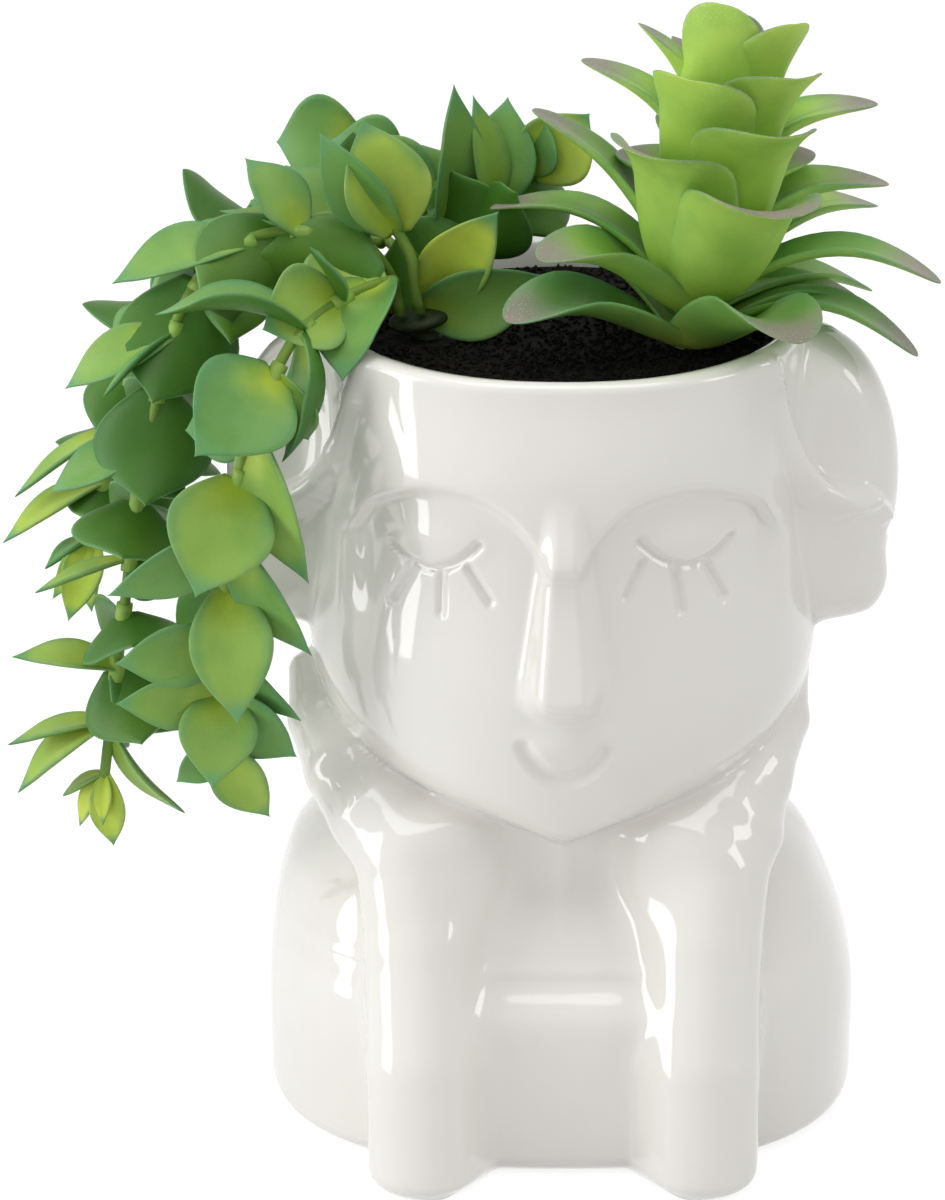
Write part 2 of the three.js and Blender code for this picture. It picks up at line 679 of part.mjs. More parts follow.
const glaze = () => new THREE.MeshStandardMaterial({ color: 0xe9e7e1, roughness: 0.12 });
const foamGreen = () => new THREE.MeshStandardMaterial({ color: 0x2f4a34, roughness: 0.95 });
const grit = () => new THREE.MeshStandardMaterial({ color: 0x1b1a19, roughness: 0.95 });
const rosetteGreen = () => new THREE.MeshStandardMaterial({ color: 0x86b84e, roughness: 0.55 });
const trailGreen = () => new THREE.MeshStandardMaterial({ color: 0x5f9a48, roughness: 0.5 });
const stemGreen = () => new THREE.MeshStandardMaterial({ color: 0xa3b64c, roughness: 0.5 });

const pot = potSolid();
stand(pot);
addPiece('pot', toGeometry(pot), glaze());

// The stakes of both plants reach through the grit into the foam.
const trailLean = THREE.MathUtils.degToRad(TRAIL_LEAN_DEG);
const trailAxis = new THREE.Vector3(-Math.sin(trailLean), 0, Math.cos(trailLean));
const trailFrame = (height) => frameAt(
  new THREE.Vector3(TRAIL_X, TRAIL_Y, SOIL_TOP).addScaledVector(trailAxis, height),
  trailAxis.clone(),
);
const rosetteStakeFrames = (extra) => [
  rosetteFrame(-STEM_BURIED - extra),
  rosetteFrame(ROSETTE_STEM_HEIGHT),
];
const trailStakeFrames = (extra, top) => [trailFrame(-STEM_BURIED - extra), trailFrame(top)];

function bored(geometry) {
  const holes = [
    rod(rosetteStakeFrames(FIT_CLEARANCE), boreAround(ROSETTE_STEM_RADIUS)),
    rod(trailStakeFrames(FIT_CLEARANCE, SOIL_BELOW_RIM), boreAround(TRAIL_STAKE_RADIUS)),
  ];
  const cut = (solid, hole) => solid.subtract(toSolid(hole));
  return toGeometry(holes.reduce(cut, toSolid(geometry)));
}

addPiece('foam_plug', bored(plugGeometry(FOAM_BOTTOM, FOAM_TOP)), foamGreen());
addPiece('soil_layer', bored(plugGeometry(FOAM_TOP + FIT_CLEARANCE, SOIL_TOP)), grit());

const rosetteStem = rod(rosetteStakeFrames(0), ROSETTE_STEM_RADIUS);
stand(toSolid(rosetteStem));
addPiece('rosette_stem', rosetteStem, stemGreen());

const collarBore = boreAround(ROSETTE_STEM_RADIUS);
for (const whorl of ROSETTE_WHORLS) {
  const frame = rosetteFrame(whorl.height);
  const outer = collarBore + COLLAR_WALL + FIT_CLEARANCE;
  stand(ringSolid(frame, collarBore, outer, COLLAR_HEIGHT + 2 * FIT_CLEARANCE));
}

ROSETTE_WHORLS.forEach((whorl, index) => {
  const frame = rosetteFrame(whorl.height);
  let solid = ringSolid(frame, collarBore, collarBore + COLLAR_WALL, COLLAR_HEIGHT);
  const leafSize = { ...whorl, thickness: ROSETTE_LEAF_THICKNESS, outline: CLASPING_SPOON };
  for (const [bearing, pitch] of whorl.leaves) {
    const leaf = growLeaf(frame, bearing, pitch, ROSETTE_STEM_RADIUS, COLLAR_WALL, leafSize);
    if (leaf) solid = solid.add(leaf);
  }
  stand(solid);
  addPiece(`rosette_whorl_${index + 1}`, toGeometry(solid), rosetteGreen());
});

// Trailing plant: one stake with a moulded crown, and branches that arch over the left rim.
const crownBottom = FIT_CLEARANCE + TRAIL_CROWN_RADIUS * Math.sin(trailLean);
const crownTop = crownBottom + TRAIL_CROWN_HEIGHT;
const crownEnds = [trailFrame(crownBottom), trailFrame(crownTop)];
const crown = toSolid(rod(crownEnds, TRAIL_CROWN_RADIUS));
const bareStake = toSolid(rod(trailStakeFrames(0, crownTop - FIT_CLEARANCE), TRAIL_STAKE_RADIUS));
const trailStake = bareStake.add(crown);
stand(trailStake);
addPiece('trailing_stake', toGeometry(trailStake), stemGreen());

const branchStart = (bearingDeg, height) => {
  const turn = THREE.MathUtils.degToRad(bearingDeg);
  const reach = TRAIL_CROWN_RADIUS - BRANCH_INSET;
  const frame = trailFrame(crownTop + FIT_CLEARANCE + height);
  return frame.place.clone()
    .addScaledVector(frame.front, reach * Math.cos(turn))
    .addScaledVector(frame.across, reach * Math.sin(turn))
    .toArray();
};

// Each branch has the bearing of its root on the crown, its leaves' size and first turn about
// the stem, and the points that it passes, chosen by hand: x, y and height above the rim.
const BRANCHES = [
  { name: 'front', start: -40, size: 1, roll: 0,
    route: [[-40, -14, 9], [-55, -23, 11], [-66, -30, 0], [-70, -33, -24],
      [-70, -34, -54], [-68, -34, -88]] },
  { name: 'left', start: -85, size: 1, roll: 0,
    route: [[-44, -5, 13], [-62, -9, 18], [-77, -14, 8], [-83, -17, -16],
      [-85, -18, -46], [-84, -18, -76]] },
  { name: 'outer', start: -130, size: 0.88, roll: 90,
    route: [[-45, 6, 17], [-65, 8, 22], [-84, 8, 12], [-92, 8, -14], [-94, 8, -46],
      [-92, 7, -78], [-90, 6, -100]] },
  { name: 'rear', start: 180, size: 0.88, roll: 90,
    route: [[-38, 17, 16], [-62, 25, 20], [-80, 27, 10], [-88, 28, -16], [-89, 28, -50]] },
  { name: 'crown', start: 5, size: 1, roll: 20,
    route: [[-30, -5, 12], [-36, -4, 22]] },
  { name: 'upper', start: 135, size: 0.95, roll: 30,
    route: [[-23, 18, 10], [-33, 31, 20], [-45, 40, 24]] },
  { name: 'back', start: 90, size: 0.95, roll: 0,
    route: [[-19, 8, 8], [-15, 16, 22]] },
];

const branchBore = boreAround(BRANCH_RADIUS);
const branches = BRANCHES.map((branch) => {
  const rise = [branchStart(branch.start, 0), branchStart(branch.start, BRANCH_RISE)];
  const route = branch.route.map(([x, y, aboveRim]) => [x, y, POT_HEIGHT + aboveRim]);
  const points = [...rise, ...route];
  const frames = stemFrames(points, INTERNODE);
  stand(toSolid(rod(frames, branchBore)));
  addPiece(`branch_${branch.name}_stem`, rod(frames, BRANCH_RADIUS), stemGreen());
  return { ...branch, frames };
});

// Leaf pairs sit halfway between the steps of a branch, each turned a quarter from the last,
// and two pairs share one moulded sleeve.

function sleeveSets(frames) {
  const lastPair = frames.length - 2;
  const sets = [];
  for (let first = 1; first <= lastPair; first += 2) {
    sets.push(first < lastPair ? [first, first + 1] : [first]);
  }
  return sets;
}

function alongBranch(frames, k, shift) {
  const step = frames[k].place.distanceTo(frames[k + 1].place);
  return frameBetween(frames[k], frames[k + 1], 0.5 + shift / step);
}

function sleeveRod(frames, pairs, radius, extra) {
  const final = pairs[pairs.length - 1];
  const bend = pairs.length > 1 ? [frames[final]] : [];
  const ends = [
    alongBranch(frames, pairs[0], -SLEEVE_END - extra),
    alongBranch(frames, final, SLEEVE_END + extra),
  ];
  return toSolid(rod([ends[0], ...bend, ends[1]], radius));
}

for (const { frames } of branches) {
  for (const pairs of sleeveSets(frames)) {
    stand(sleeveRod(frames, pairs, branchBore + SLEEVE_WALL + FIT_CLEARANCE, FIT_CLEARANCE));
  }
}

for (const branch of branches) {
  const { frames } = branch;
  const lastPair = frames.length - 2;
  sleeveSets(frames).forEach((pairs, index) => {
    const wall = sleeveRod(frames, pairs, branchBore + SLEEVE_WALL, 0);
    let solid = wall.subtract(sleeveRod(frames, pairs, branchBore, 1));
    for (const k of pairs) {
      const progress = k / lastPair;
      const size = branch.size * (1 - 0.35 * progress ** 3);
      const leaf = {
        length: TRAIL_LEAF_LENGTH * size,
        width: TRAIL_LEAF_WIDTH * size,
        thickness: TRAIL_LEAF_THICKNESS,
        cup: 3 * size,
        curl: -2 * size,
        outline: POINTED_OVAL,
      };
      const pitch = 30 + 25 * progress;
      for (const turn of [0, 180]) {
        const roll = branch.roll + (k % 2) * 90 + turn;
        const frame = alongBranch(frames, k, 0);
        const grown = growLeaf(frame, roll, pitch, BRANCH_RADIUS, SLEEVE_WALL, leaf);
        if (grown) solid = solid.add(grown);
      }
    }
    stand(solid);
    addPiece(`branch_${branch.name}_leaves_${index + 1}`, toGeometry(solid), trailGreen());
  });
}

export default planter;
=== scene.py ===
import math
import bpy
import numpy as np
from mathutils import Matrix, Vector


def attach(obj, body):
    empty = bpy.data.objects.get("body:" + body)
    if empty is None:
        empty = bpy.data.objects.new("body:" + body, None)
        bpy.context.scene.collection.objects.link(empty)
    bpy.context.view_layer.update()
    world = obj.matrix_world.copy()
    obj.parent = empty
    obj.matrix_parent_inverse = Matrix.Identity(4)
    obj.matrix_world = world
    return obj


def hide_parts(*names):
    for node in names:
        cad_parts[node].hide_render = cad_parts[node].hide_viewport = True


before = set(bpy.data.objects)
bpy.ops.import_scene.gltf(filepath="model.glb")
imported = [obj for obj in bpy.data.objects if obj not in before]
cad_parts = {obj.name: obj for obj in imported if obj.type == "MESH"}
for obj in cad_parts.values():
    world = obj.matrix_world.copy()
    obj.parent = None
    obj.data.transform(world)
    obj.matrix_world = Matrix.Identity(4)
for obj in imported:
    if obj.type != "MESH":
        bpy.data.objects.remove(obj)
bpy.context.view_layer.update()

# Camera: a long lens two metres away, 20 degrees above the face. PICTURE sizes are millimetres
# on the plane through the middle of the object, from the top left corner of the photograph.
MM = 0.001
VIEW_TILT = math.radians(20)
VIEW_DISTANCE = 2000
VIEW_TARGET = np.array([-17.9, 0, 100.2])
PICTURE_WIDTH = 189
PICTURE_HEIGHT = 240
VIEW_UP = np.array([0, math.sin(VIEW_TILT), math.cos(VIEW_TILT)])
TO_VIEWER = np.array([0, -math.cos(VIEW_TILT), math.sin(VIEW_TILT)])
VIEW_POINT = VIEW_TARGET + VIEW_DISTANCE * TO_VIEWER

SENSOR_HEIGHT = 36
camera_data = bpy.data.cameras.new("camera")
camera_data.sensor_fit = "VERTICAL"
camera_data.sensor_height = SENSOR_HEIGHT
camera_data.lens = SENSOR_HEIGHT * VIEW_DISTANCE / PICTURE_HEIGHT
camera_data.clip_end = 20
camera = bpy.data.objects.new("camera", camera_data)
camera.location = VIEW_POINT * MM
camera.rotation_euler = (math.pi / 2 - VIEW_TILT, 0, 0)
bpy.context.scene.collection.objects.link(camera)
bpy.context.scene.camera = camera
bpy.context.scene.view_settings.view_transform = "Standard"


def seen(across, down, y):
    """The point at depth y that shows at a place of the picture."""
    side = np.array([1.0, 0, 0]) * (across - PICTURE_WIDTH / 2)
    place = VIEW_TARGET + side + VIEW_UP * (PICTURE_HEIGHT / 2 - down)
    ray = place - VIEW_POINT
    return VIEW_POINT + ray * (y - VIEW_POINT[1]) / ray[1]


# Studio: a white floor and surround that the camera and mirrored rays see as plain white, a
# tall softbox on each side, a wide one above and a dim one in front that the glaze doesn't
# mirror. The floor keeps a faint shadow under the foot.
def add_node(tree, kind, **settings):
    node = tree.nodes.new(kind)
    for name, value in settings.items():
        setattr(node, name, value)
    return node


def shown_rays(tree):
    """One where a ray comes from the camera, a reflection or glass, so that it meets white."""
    path = add_node(tree, "ShaderNodeLightPath")
    total = path.outputs["Is Camera Ray"]
    for kind in ("Is Glossy Ray", "Is Transmission Ray"):
        added = add_node(tree, "ShaderNodeMath", operation="MAXIMUM")
        tree.links.new(total, added.inputs[0])
        tree.links.new(path.outputs[kind], added.inputs[1])
        total = added.outputs[0]
    return total


SURROUND = (0.88, 0.87, 0.86, 1)
SURROUND_STRENGTH = 0.52
WHITE = (1, 1, 1, 1)
world = bpy.data.worlds.new("surround")
world.use_nodes = True
world.node_tree.nodes.clear()
world_out = add_node(world.node_tree, "ShaderNodeOutputWorld")
world_light = add_node(world.node_tree, "ShaderNodeBackground")
world_light.inputs["Color"].default_value = SURROUND
world_light.inputs["Strength"].default_value = SURROUND_STRENGTH
world_shown = add_node(world.node_tree, "ShaderNodeBackground")
world_shown.inputs["Color"].default_value = WHITE
world_mix = add_node(world.node_tree, "ShaderNodeMixShader")
world.node_tree.links.new(shown_rays(world.node_tree), world_mix.inputs[0])
world.node_tree.links.new(world_light.outputs[0], world_mix.inputs[1])
world.node_tree.links.new(world_shown.outputs[0], world_mix.inputs[2])
world.node_tree.links.new(world_mix.outputs[0], world_out.inputs["Surface"])
bpy.context.scene.world = world

FLOOR_SIZE = 3.0
FLOOR_PAINT = (0.82, 0.82, 0.82, 1)
FLOOR_SEEN_PAINT = (0.38, 0.38, 0.38, 1)
FLOOR_SEEN_GLOW = 0.8
floor_mesh = bpy.data.meshes.new("floor")
corner = FLOOR_SIZE / 2
floor_mesh.from_pydata(
    [(-corner, -corner, 0), (corner, -corner, 0), (corner, corner, 0), (-corner, corner, 0)],
    [], [(0, 1, 2, 3)])
floor = bpy.data.objects.new("floor", floor_mesh)
bpy.context.scene.collection.objects.link(floor)
floor_look = bpy.data.materials.new("white_floor")
floor_look.use_nodes = True
floor_tree = floor_look.node_tree
floor_tree.nodes.clear()
floor_out = add_node(floor_tree, "ShaderNodeOutputMaterial")
floor_paint = add_node(floor_tree, "ShaderNodeBsdfDiffuse")
floor_paint.inputs["Color"].default_value = FLOOR_PAINT
floor_white = add_node(floor_tree, "ShaderNodeEmission")
floor_glow = add_node(floor_tree, "ShaderNodeEmission")
floor_glow.inputs["Strength"].default_value = FLOOR_SEEN_GLOW
floor_shade = add_node(floor_tree, "ShaderNodeBsdfDiffuse")
floor_shade.inputs["Color"].default_value = FLOOR_SEEN_PAINT
floor_seen = add_node(floor_tree, "ShaderNodeAddShader")
floor_mirrored = add_node(floor_tree, "ShaderNodeMixShader")
floor_mix = add_node(floor_tree, "ShaderNodeMixShader")
floor_path = add_node(floor_tree, "ShaderNodeLightPath")
for given, taken in (
        (floor_shade.outputs[0], floor_seen.inputs[0]),
        (floor_glow.outputs[0], floor_seen.inputs[1]),
        (shown_rays(floor_tree), floor_mirrored.inputs[0]),
        (floor_paint.outputs[0], floor_mirrored.inputs[1]),
        (floor_white.outputs[0], floor_mirrored.inputs[2]),
        (floor_path.outputs["Is Camera Ray"], floor_mix.inputs[0]),
        (floor_mirrored.outputs[0], floor_mix.inputs[1]),
        (floor_seen.outputs[0], floor_mix.inputs[2]),
        (floor_mix.outputs[0], floor_out.inputs["Surface"])):
    floor_tree.links.new(given, taken)
floor_mesh.materials.append(floor_look)


def add_softbox(name, place, aim, width, height, watts):
    light = bpy.data.lights.new(name, "AREA")
    light.shape = "RECTANGLE"
    light.size = width
    light.size_y = height
    light.energy = watts
    box = bpy.data.objects.new(name, light)
    box.location = place
    box.rotation_euler = (Vector(aim) - Vector(place)).to_track_quat("-Z", "Y").to_euler()
    bpy.context.scene.collection.objects.link(box)
    return box


MIDDLE = (0, 0, 0.09)
add_softbox("softbox_left", (-0.45, -0.12, 0.24), MIDDLE, 0.20, 0.44, 1.05)
add_softbox("softbox_right", (0.95, -0.30, 0.60), MIDDLE, 0.30, 0.40, 1.3)
add_softbox("softbox_top", (0.0, -0.10, 1.10), MIDDLE, 0.9, 0.7, 4.0)
front_fill = add_softbox("softbox_front", (-0.45, -1.15, 0.55), MIDDLE, 0.5, 0.5, 1.3)
front_fill.visible_glossy = False


# Pot: one slip casting in earthenware under a thick white glaze, head, ears, arms and torso in
# one. Its outside is a sum of soft forms, measured from the centre line outwards on a fine
# grid, with the face in relief. The hollow is turned. All in millimetres.
POT_HEIGHT = 162
BROW_Z = 141
EYE_Z = 127
CHEEK_Z = 98
NOSE_BASE_Z = 96.5
MOUTH_Z = 84
CHIN_Z = 65
SHOULDER_Z = 57
CHEST_RIDGE_Z = 38
HEAD_HALF_WIDTH = 50.5
HEAD_FRONT = 53
HEAD_BACK = 50
RIM_HALF_WIDTH = 48.5
RIM_FRONT = 49
TORSO_HALF_WIDTH = 58.5
TORSO_FRONT = 58
TORSO_BACK = 55
CHEST_FRONT = 41
CHEST_BAND = 1.2
ELBOW_X = 27
ELBOW_Y = 61
FOREARM_RADIUS = 11.5
WRIST_X = 29
WRIST_Y = 40
WRIST_RADIUS = 10.5
PALM_RADIUS = 9
FINGER_RADIUS = 4.6
FINGERTIP_Z = 88
RIGHT_HAND_TUCK = 5.5
RIGHT_SHOULDER_TUCK = 5
EAR_REACH = 66.6
EAR_Z = 130
EAR_HALF_HEIGHT = 31
NOSE_PROJECTION = 7
NOSE_HALF_WIDTH = 9
EYE_X = 25
MOUTH_HALF_WIDTH = 9
RIM_WALL = 4
NECK_WALL = 5
POT_FLOOR = 6
FOOT_ROUNDING = 4
LIP_ROUNDING = 2


def ease(low, high, value):
    t = np.clip((value - low) / (high - low), 0, 1)
    return t * t * (3 - 2 * t)


def soft_min(a, b, blend):
    h = np.clip(0.5 + (b - a) / (2 * blend), 0, 1)
    return b + (a - b) * h - blend * h * (1 - h)


def soft_max(a, b, blend):
    return -soft_min(-a, -b, blend)


def curve_through(points):
    """A smooth curve through (position, value) points, held level past both ends."""
    at, value = np.array(points, float).T
    slope = np.zeros(len(at))
    slope[1:-1] = (value[2:] - value[:-2]) / (at[2:] - at[:-2])

    def curve(x):
        i = np.clip(np.searchsorted(at, x, side="right") - 1, 0, len(at) - 2)
        span = at[i + 1] - at[i]
        t = np.clip((x - at[i]) / span, 0, 1)
        a = value[i] * (1 + 2 * t) + slope[i] * span * t
        b = value[i + 1] * (3 - 2 * t) - slope[i + 1] * span * (1 - t)
        return a * (1 - t) ** 2 + b * t ** 2

    return curve


def oval_section(x, y, half_width, front, back, power):
    depth = np.where(y < 0, front, back)
    norm = ((x / half_width) ** power + (np.abs(y) / depth) ** power) ** (1 / power)
    return (norm - 1) * np.minimum(half_width, depth)


def ellipsoid(x, y, z, centre, radii):
    p = [(x - centre[0]) / radii[0], (y - centre[1]) / radii[1], (z - centre[2]) / radii[2]]
    k0 = np.sqrt(p[0] ** 2 + p[1] ** 2 + p[2] ** 2)
    k1 = np.sqrt((p[0] / radii[0]) ** 2 + (p[1] / radii[1]) ** 2 + (p[2] / radii[2]) ** 2)
    return k0 * (k0 - 1) / np.maximum(k1, 1e-9)


def tapered_limb(x, y, z, start, end):
    d = [end[k] - start[k] for k in range(3)]
    along = (x - start[0]) * d[0] + (y - start[1]) * d[1] + (z - start[2]) * d[2]
    t = np.clip(along / (d[0] ** 2 + d[1] ** 2 + d[2] ** 2), 0, 1)
    away = [(x, y, z)[k] - start[k] - d[k] * t for k in range(3)]
    radius = start[3] + (end[3] - start[3]) * t
    return np.sqrt(away[0] ** 2 + away[1] ** 2 + away[2] ** 2) - radius


head_half_width = curve_through([
    (CHIN_Z - 2, 3), (CHIN_Z + 1, 8), (CHIN_Z + 4, 19), (CHIN_Z + 7, 30), (CHIN_Z + 11, 40),
    (CHIN_Z + 16, 45.5), (MOUTH_Z + 4, HEAD_HALF_WIDTH - 1.5), (CHEEK_Z, HEAD_HALF_WIDTH),
    (BROW_Z, RIM_HALF_WIDTH), (POT_HEIGHT, RIM_HALF_WIDTH)])
head_front = curve_through([
    (CHIN_Z - 2, 38), (CHIN_Z + 1, 45), (CHIN_Z + 4, 49), (CHIN_Z + 14, HEAD_FRONT - 1),
    (CHEEK_Z, HEAD_FRONT), (BROW_Z, HEAD_FRONT), (POT_HEIGHT, RIM_FRONT)])
head_back = curve_through([
    (CHIN_Z - 4, 30), (CHIN_Z + 4, 40), (CHIN_Z + 14, HEAD_BACK - 3),
    (CHEEK_Z, HEAD_BACK), (POT_HEIGHT, RIM_FRONT)])
torso_half_width = curve_through([
    (0, TORSO_HALF_WIDTH), (CHEST_RIDGE_Z - 10, TORSO_HALF_WIDTH),
    (SHOULDER_Z - 9, TORSO_HALF_WIDTH - 4), (SHOULDER_Z - 2, TORSO_HALF_WIDTH - 11),
    (SHOULDER_Z + 3, TORSO_HALF_WIDTH - 22)])
torso_front = curve_through([
    (0, TORSO_FRONT), (CHEST_RIDGE_Z - 7, TORSO_FRONT - 0.5),
    (CHEST_RIDGE_Z - 3.5, TORSO_FRONT - 2), (CHEST_RIDGE_Z, TORSO_FRONT - 6),
    (CHEST_RIDGE_Z + 7, TORSO_FRONT - 10.5), (SHOULDER_Z, CHEST_FRONT)])
torso_back = curve_through([
    (0, TORSO_BACK), (CHEST_RIDGE_Z, TORSO_BACK), (SHOULDER_Z - 5, TORSO_BACK - 5),
    (SHOULDER_Z + 3, TORSO_BACK - 17)])
# The arm's middle line from the foot to the fingertips, with its radius.
ARM_POINTS = [
    (ELBOW_X, -ELBOW_Y - 1, 0, FOREARM_RADIUS),
    (ELBOW_X + 0.3, -ELBOW_Y + 5, 22, FOREARM_RADIUS),
    (ELBOW_X + 1.2, -ELBOW_Y + 14, 44, FOREARM_RADIUS - 0.5),
    (WRIST_X + 1.5, -WRIST_Y, SHOULDER_Z + 4, WRIST_RADIUS),
    (WRIST_X + 8, -WRIST_Y + 6, SHOULDER_Z + 10.5, PALM_RADIUS + 0.4),
    (WRIST_X + 14.5, -WRIST_Y + 14, CHIN_Z + 9, PALM_RADIUS - 1.2),
    (HEAD_HALF_WIDTH - 1.8, -WRIST_Y + 24, FINGERTIP_Z - 7, FINGER_RADIUS + 1.3),
    (HEAD_HALF_WIDTH - 0.5, -WRIST_Y + 32, FINGERTIP_Z, FINGER_RADIUS)]


def arm_form(x, y, z):
    nearest = tapered_limb(x, y, z, ARM_POINTS[0], ARM_POINTS[1])
    for start, end in zip(ARM_POINTS[1:], ARM_POINTS[2:]):
        nearest = soft_min(nearest, tapered_limb(x, y, z, start, end), 1)
    return nearest


# The ear's front ridge and the fold above its lobe, as a raised bead with its radius.
EAR_FOLD = [
    (39, -29.5, POT_HEIGHT - 1, 1.8), (41, -29, EAR_Z + 23, 2), (44.6, -26.5, EAR_Z + 11, 2.2),
    (49.5, -22.5, EAR_Z + 2, 2.2), (57, -21.5, EAR_Z - 2.5, 2), (61, -19.5, EAR_Z - 1.5, 1.9),
    (64, -14.5, EAR_Z - 6.5, 1.5)]


def ear_form(x, y, z):
    middle = HEAD_HALF_WIDTH - 2
    body = ellipsoid(x, y, z, (middle, -7, EAR_Z), (EAR_REACH - middle, 15, EAR_HALF_HEIGHT))
    lobe = ellipsoid(x, y, z, (EAR_REACH - 10.6, -10, EAR_Z - 20), (8.5, 8, 9.5))
    notch = ellipsoid(x, y, z, (EAR_REACH + 0.4, -8, EAR_Z - 11.5), (2.6, 12, 2.4))
    shell = ellipsoid(x, y, z, (EAR_REACH - 11.5, -25, EAR_Z + 17), (9.5, 8.5, 19))
    ear = soft_max(soft_min(body, lobe, 2), -notch, 1)
    ear = soft_max(ear, -shell, 1.2)
    for start, end in zip(EAR_FOLD, EAR_FOLD[1:]):
        ear = soft_min(ear, tapered_limb(x, y, z, start, end), 1.6)
    return ear


def stroke(x, z, points, half_width):
    """How deep a line cut along (x, z) points goes at a place of the face, from 0 to 1."""
    nearest = np.full(np.broadcast(x, z).shape, 1e3)
    for (x0, z0), (x1, z1) in zip(points, points[1:]):
        dx, dz = x1 - x0, z1 - z0
        t = np.clip(((x - x0) * dx + (z - z0) * dz) / (dx * dx + dz * dz), 0, 1)
        nearest = np.minimum(nearest, np.hypot(x - x0 - dx * t, z - z0 - dz * t))
    return 1 - ease(0.1 * half_width, half_width, nearest)


def arc_points(left, right, sag, power=2, count=17):
    """Points along a hanging arc between two places."""
    steps = np.linspace(-1, 1, count)
    return [((left[0] + right[0]) / 2 + s * (right[0] - left[0]) / 2,
             left[1] + (right[1] - left[1]) * (s + 1) / 2 - sag * (1 - abs(s) ** power))
            for s in steps]


brow_line = curve_through([
    (3, EYE_Z), (6, BROW_Z - 9), (11, BROW_Z - 3.5), (18, BROW_Z), (28, BROW_Z),
    (37, BROW_Z - 5), (43, EYE_Z + 1)])
# Lines cut by hand, so the left eye's lid and lashes are no mirror of the right one's.
LID_LINES = [
    arc_points((-33.6, EYE_Z - 1.4), (-16.8, EYE_Z + 1.8), 4.4),
    arc_points((14.6, EYE_Z + 2.9), (32.4, EYE_Z + 0.6), 4.8)]
LASHES = [
    [(-29.6, EYE_Z - 5.2), (-33.4, EYE_Z - 12)], [(-23.8, EYE_Z - 4.8), (-24, EYE_Z - 12.8)],
    [(-18.6, EYE_Z - 3), (-14.4, EYE_Z - 9.4)], [(15, EYE_Z - 1.6), (12, EYE_Z - 8.2)],
    [(21.2, EYE_Z - 2.8), (22.8, EYE_Z - 12)], [(27.4, EYE_Z - 3.8), (31, EYE_Z - 11.2)]]
SMILE = arc_points((-7.8, MOUTH_Z + 4.4), (7.8, MOUTH_Z + 3.8), 6.2, 2.5)
SOCKET_DEPTH = 2.9
BRIDGE_RISE = 2.4
LID_RISE = 1.5
LIP_RISE = 1.3
LINE_DEPTH = 1.1


def face_relief(x, z):
    """Height of the face over the smooth head: nose and lids up, sockets and lines down."""
    side = np.abs(x)
    under_brow = ease(0, 4.5, brow_line(side) - z) * ease(CHEEK_Z - 2, EYE_Z - 2, z)
    socket = SOCKET_DEPTH * under_brow * (1 - ease(37, 46, side))
    fall = np.clip((EYE_Z + 8 - z) / (EYE_Z + 8 - NOSE_BASE_Z), 0, 1)
    flat = 1.2 + 2.6 * fall
    flank = 3.6 + 3.2 * fall
    ends = ease(NOSE_BASE_Z - 4.5, NOSE_BASE_Z + 3.5, z - 0.045 * side ** 2)
    ends = ends * (1 - ease(EYE_Z, BROW_Z, z))
    nose = BRIDGE_RISE + (NOSE_PROJECTION - BRIDGE_RISE) * fall
    nose = nose * ends * (1 - ease(flat, flat + flank, side))
    lid = LID_RISE * (1 - ease(0, 1, np.hypot((side - EYE_X) / 14, (z - EYE_Z - 2.5) / 8)))
    lips = LIP_RISE * (1 - ease(0, 1, np.hypot(side / 11, (z - MOUTH_Z - 5.5) / 6)))
    lines = 0.9 * stroke(x, z, SMILE, 2.5)
    for points in LID_LINES:
        lines = np.maximum(lines, stroke(x, z, points, 1.5))
    for points in LASHES:
        lines = np.maximum(lines, 0.85 * stroke(x, z, points, 1.4))
    return nose + lid + lips - socket - LINE_DEPTH * lines


def rounded_edge(radius, depth):
    """How far a surface draws in at a depth below the start of its rounding."""
    return radius - np.sqrt(np.maximum(0, radius ** 2 - np.maximum(0, depth) ** 2))


def ceramic_form(x, y, z):
    """Below zero inside the casting and above zero outside it."""
    side = np.abs(x)
    right = (x > 0).astype(float)
    hand_side = side + right * RIGHT_HAND_TUCK * ease(SHOULDER_Z, CHIN_Z + 8, z)
    body_side = side + right * RIGHT_SHOULDER_TUCK * ease(CHEST_RIDGE_Z - 18, SHOULDER_Z, z)
    head = oval_section(side, y, head_half_width(z), head_front(z), head_back(z), 2.25)
    head = soft_min(head, ear_form(side, y, z), 3)
    band = CHEST_BAND * np.exp(-((z - CHEST_RIDGE_Z - 2.5) / 1.2) ** 2)
    torso = oval_section(
        body_side, y, torso_half_width(z), torso_front(z) + band, torso_back(z), 2.5)
    neck = oval_section(side, y, CHEST_FRONT - 3, CHEST_FRONT - 2, CHEST_FRONT - 4, 2)
    web = tapered_limb(
        side, y, z, (ELBOW_X - 4, -ELBOW_Y + 16, 0, FOREARM_RADIUS),
        (WRIST_X - 8.5, -WRIST_Y + 4, SHOULDER_Z + 6, WRIST_RADIUS))
    limbs = soft_min(arm_form(hand_side, y, z), web, 6)
    body = soft_min(torso, neck, 3)
    head = head - face_relief(x, z) * ease(18, 34, -y)
    joined = soft_min(head, soft_min(body, limbs, 5), 1.6)
    foot = rounded_edge(FOOT_ROUNDING, FOOT_ROUNDING - z)
    lip = rounded_edge(LIP_ROUNDING, z - POT_HEIGHT + LIP_ROUNDING)
    return joined + foot + lip


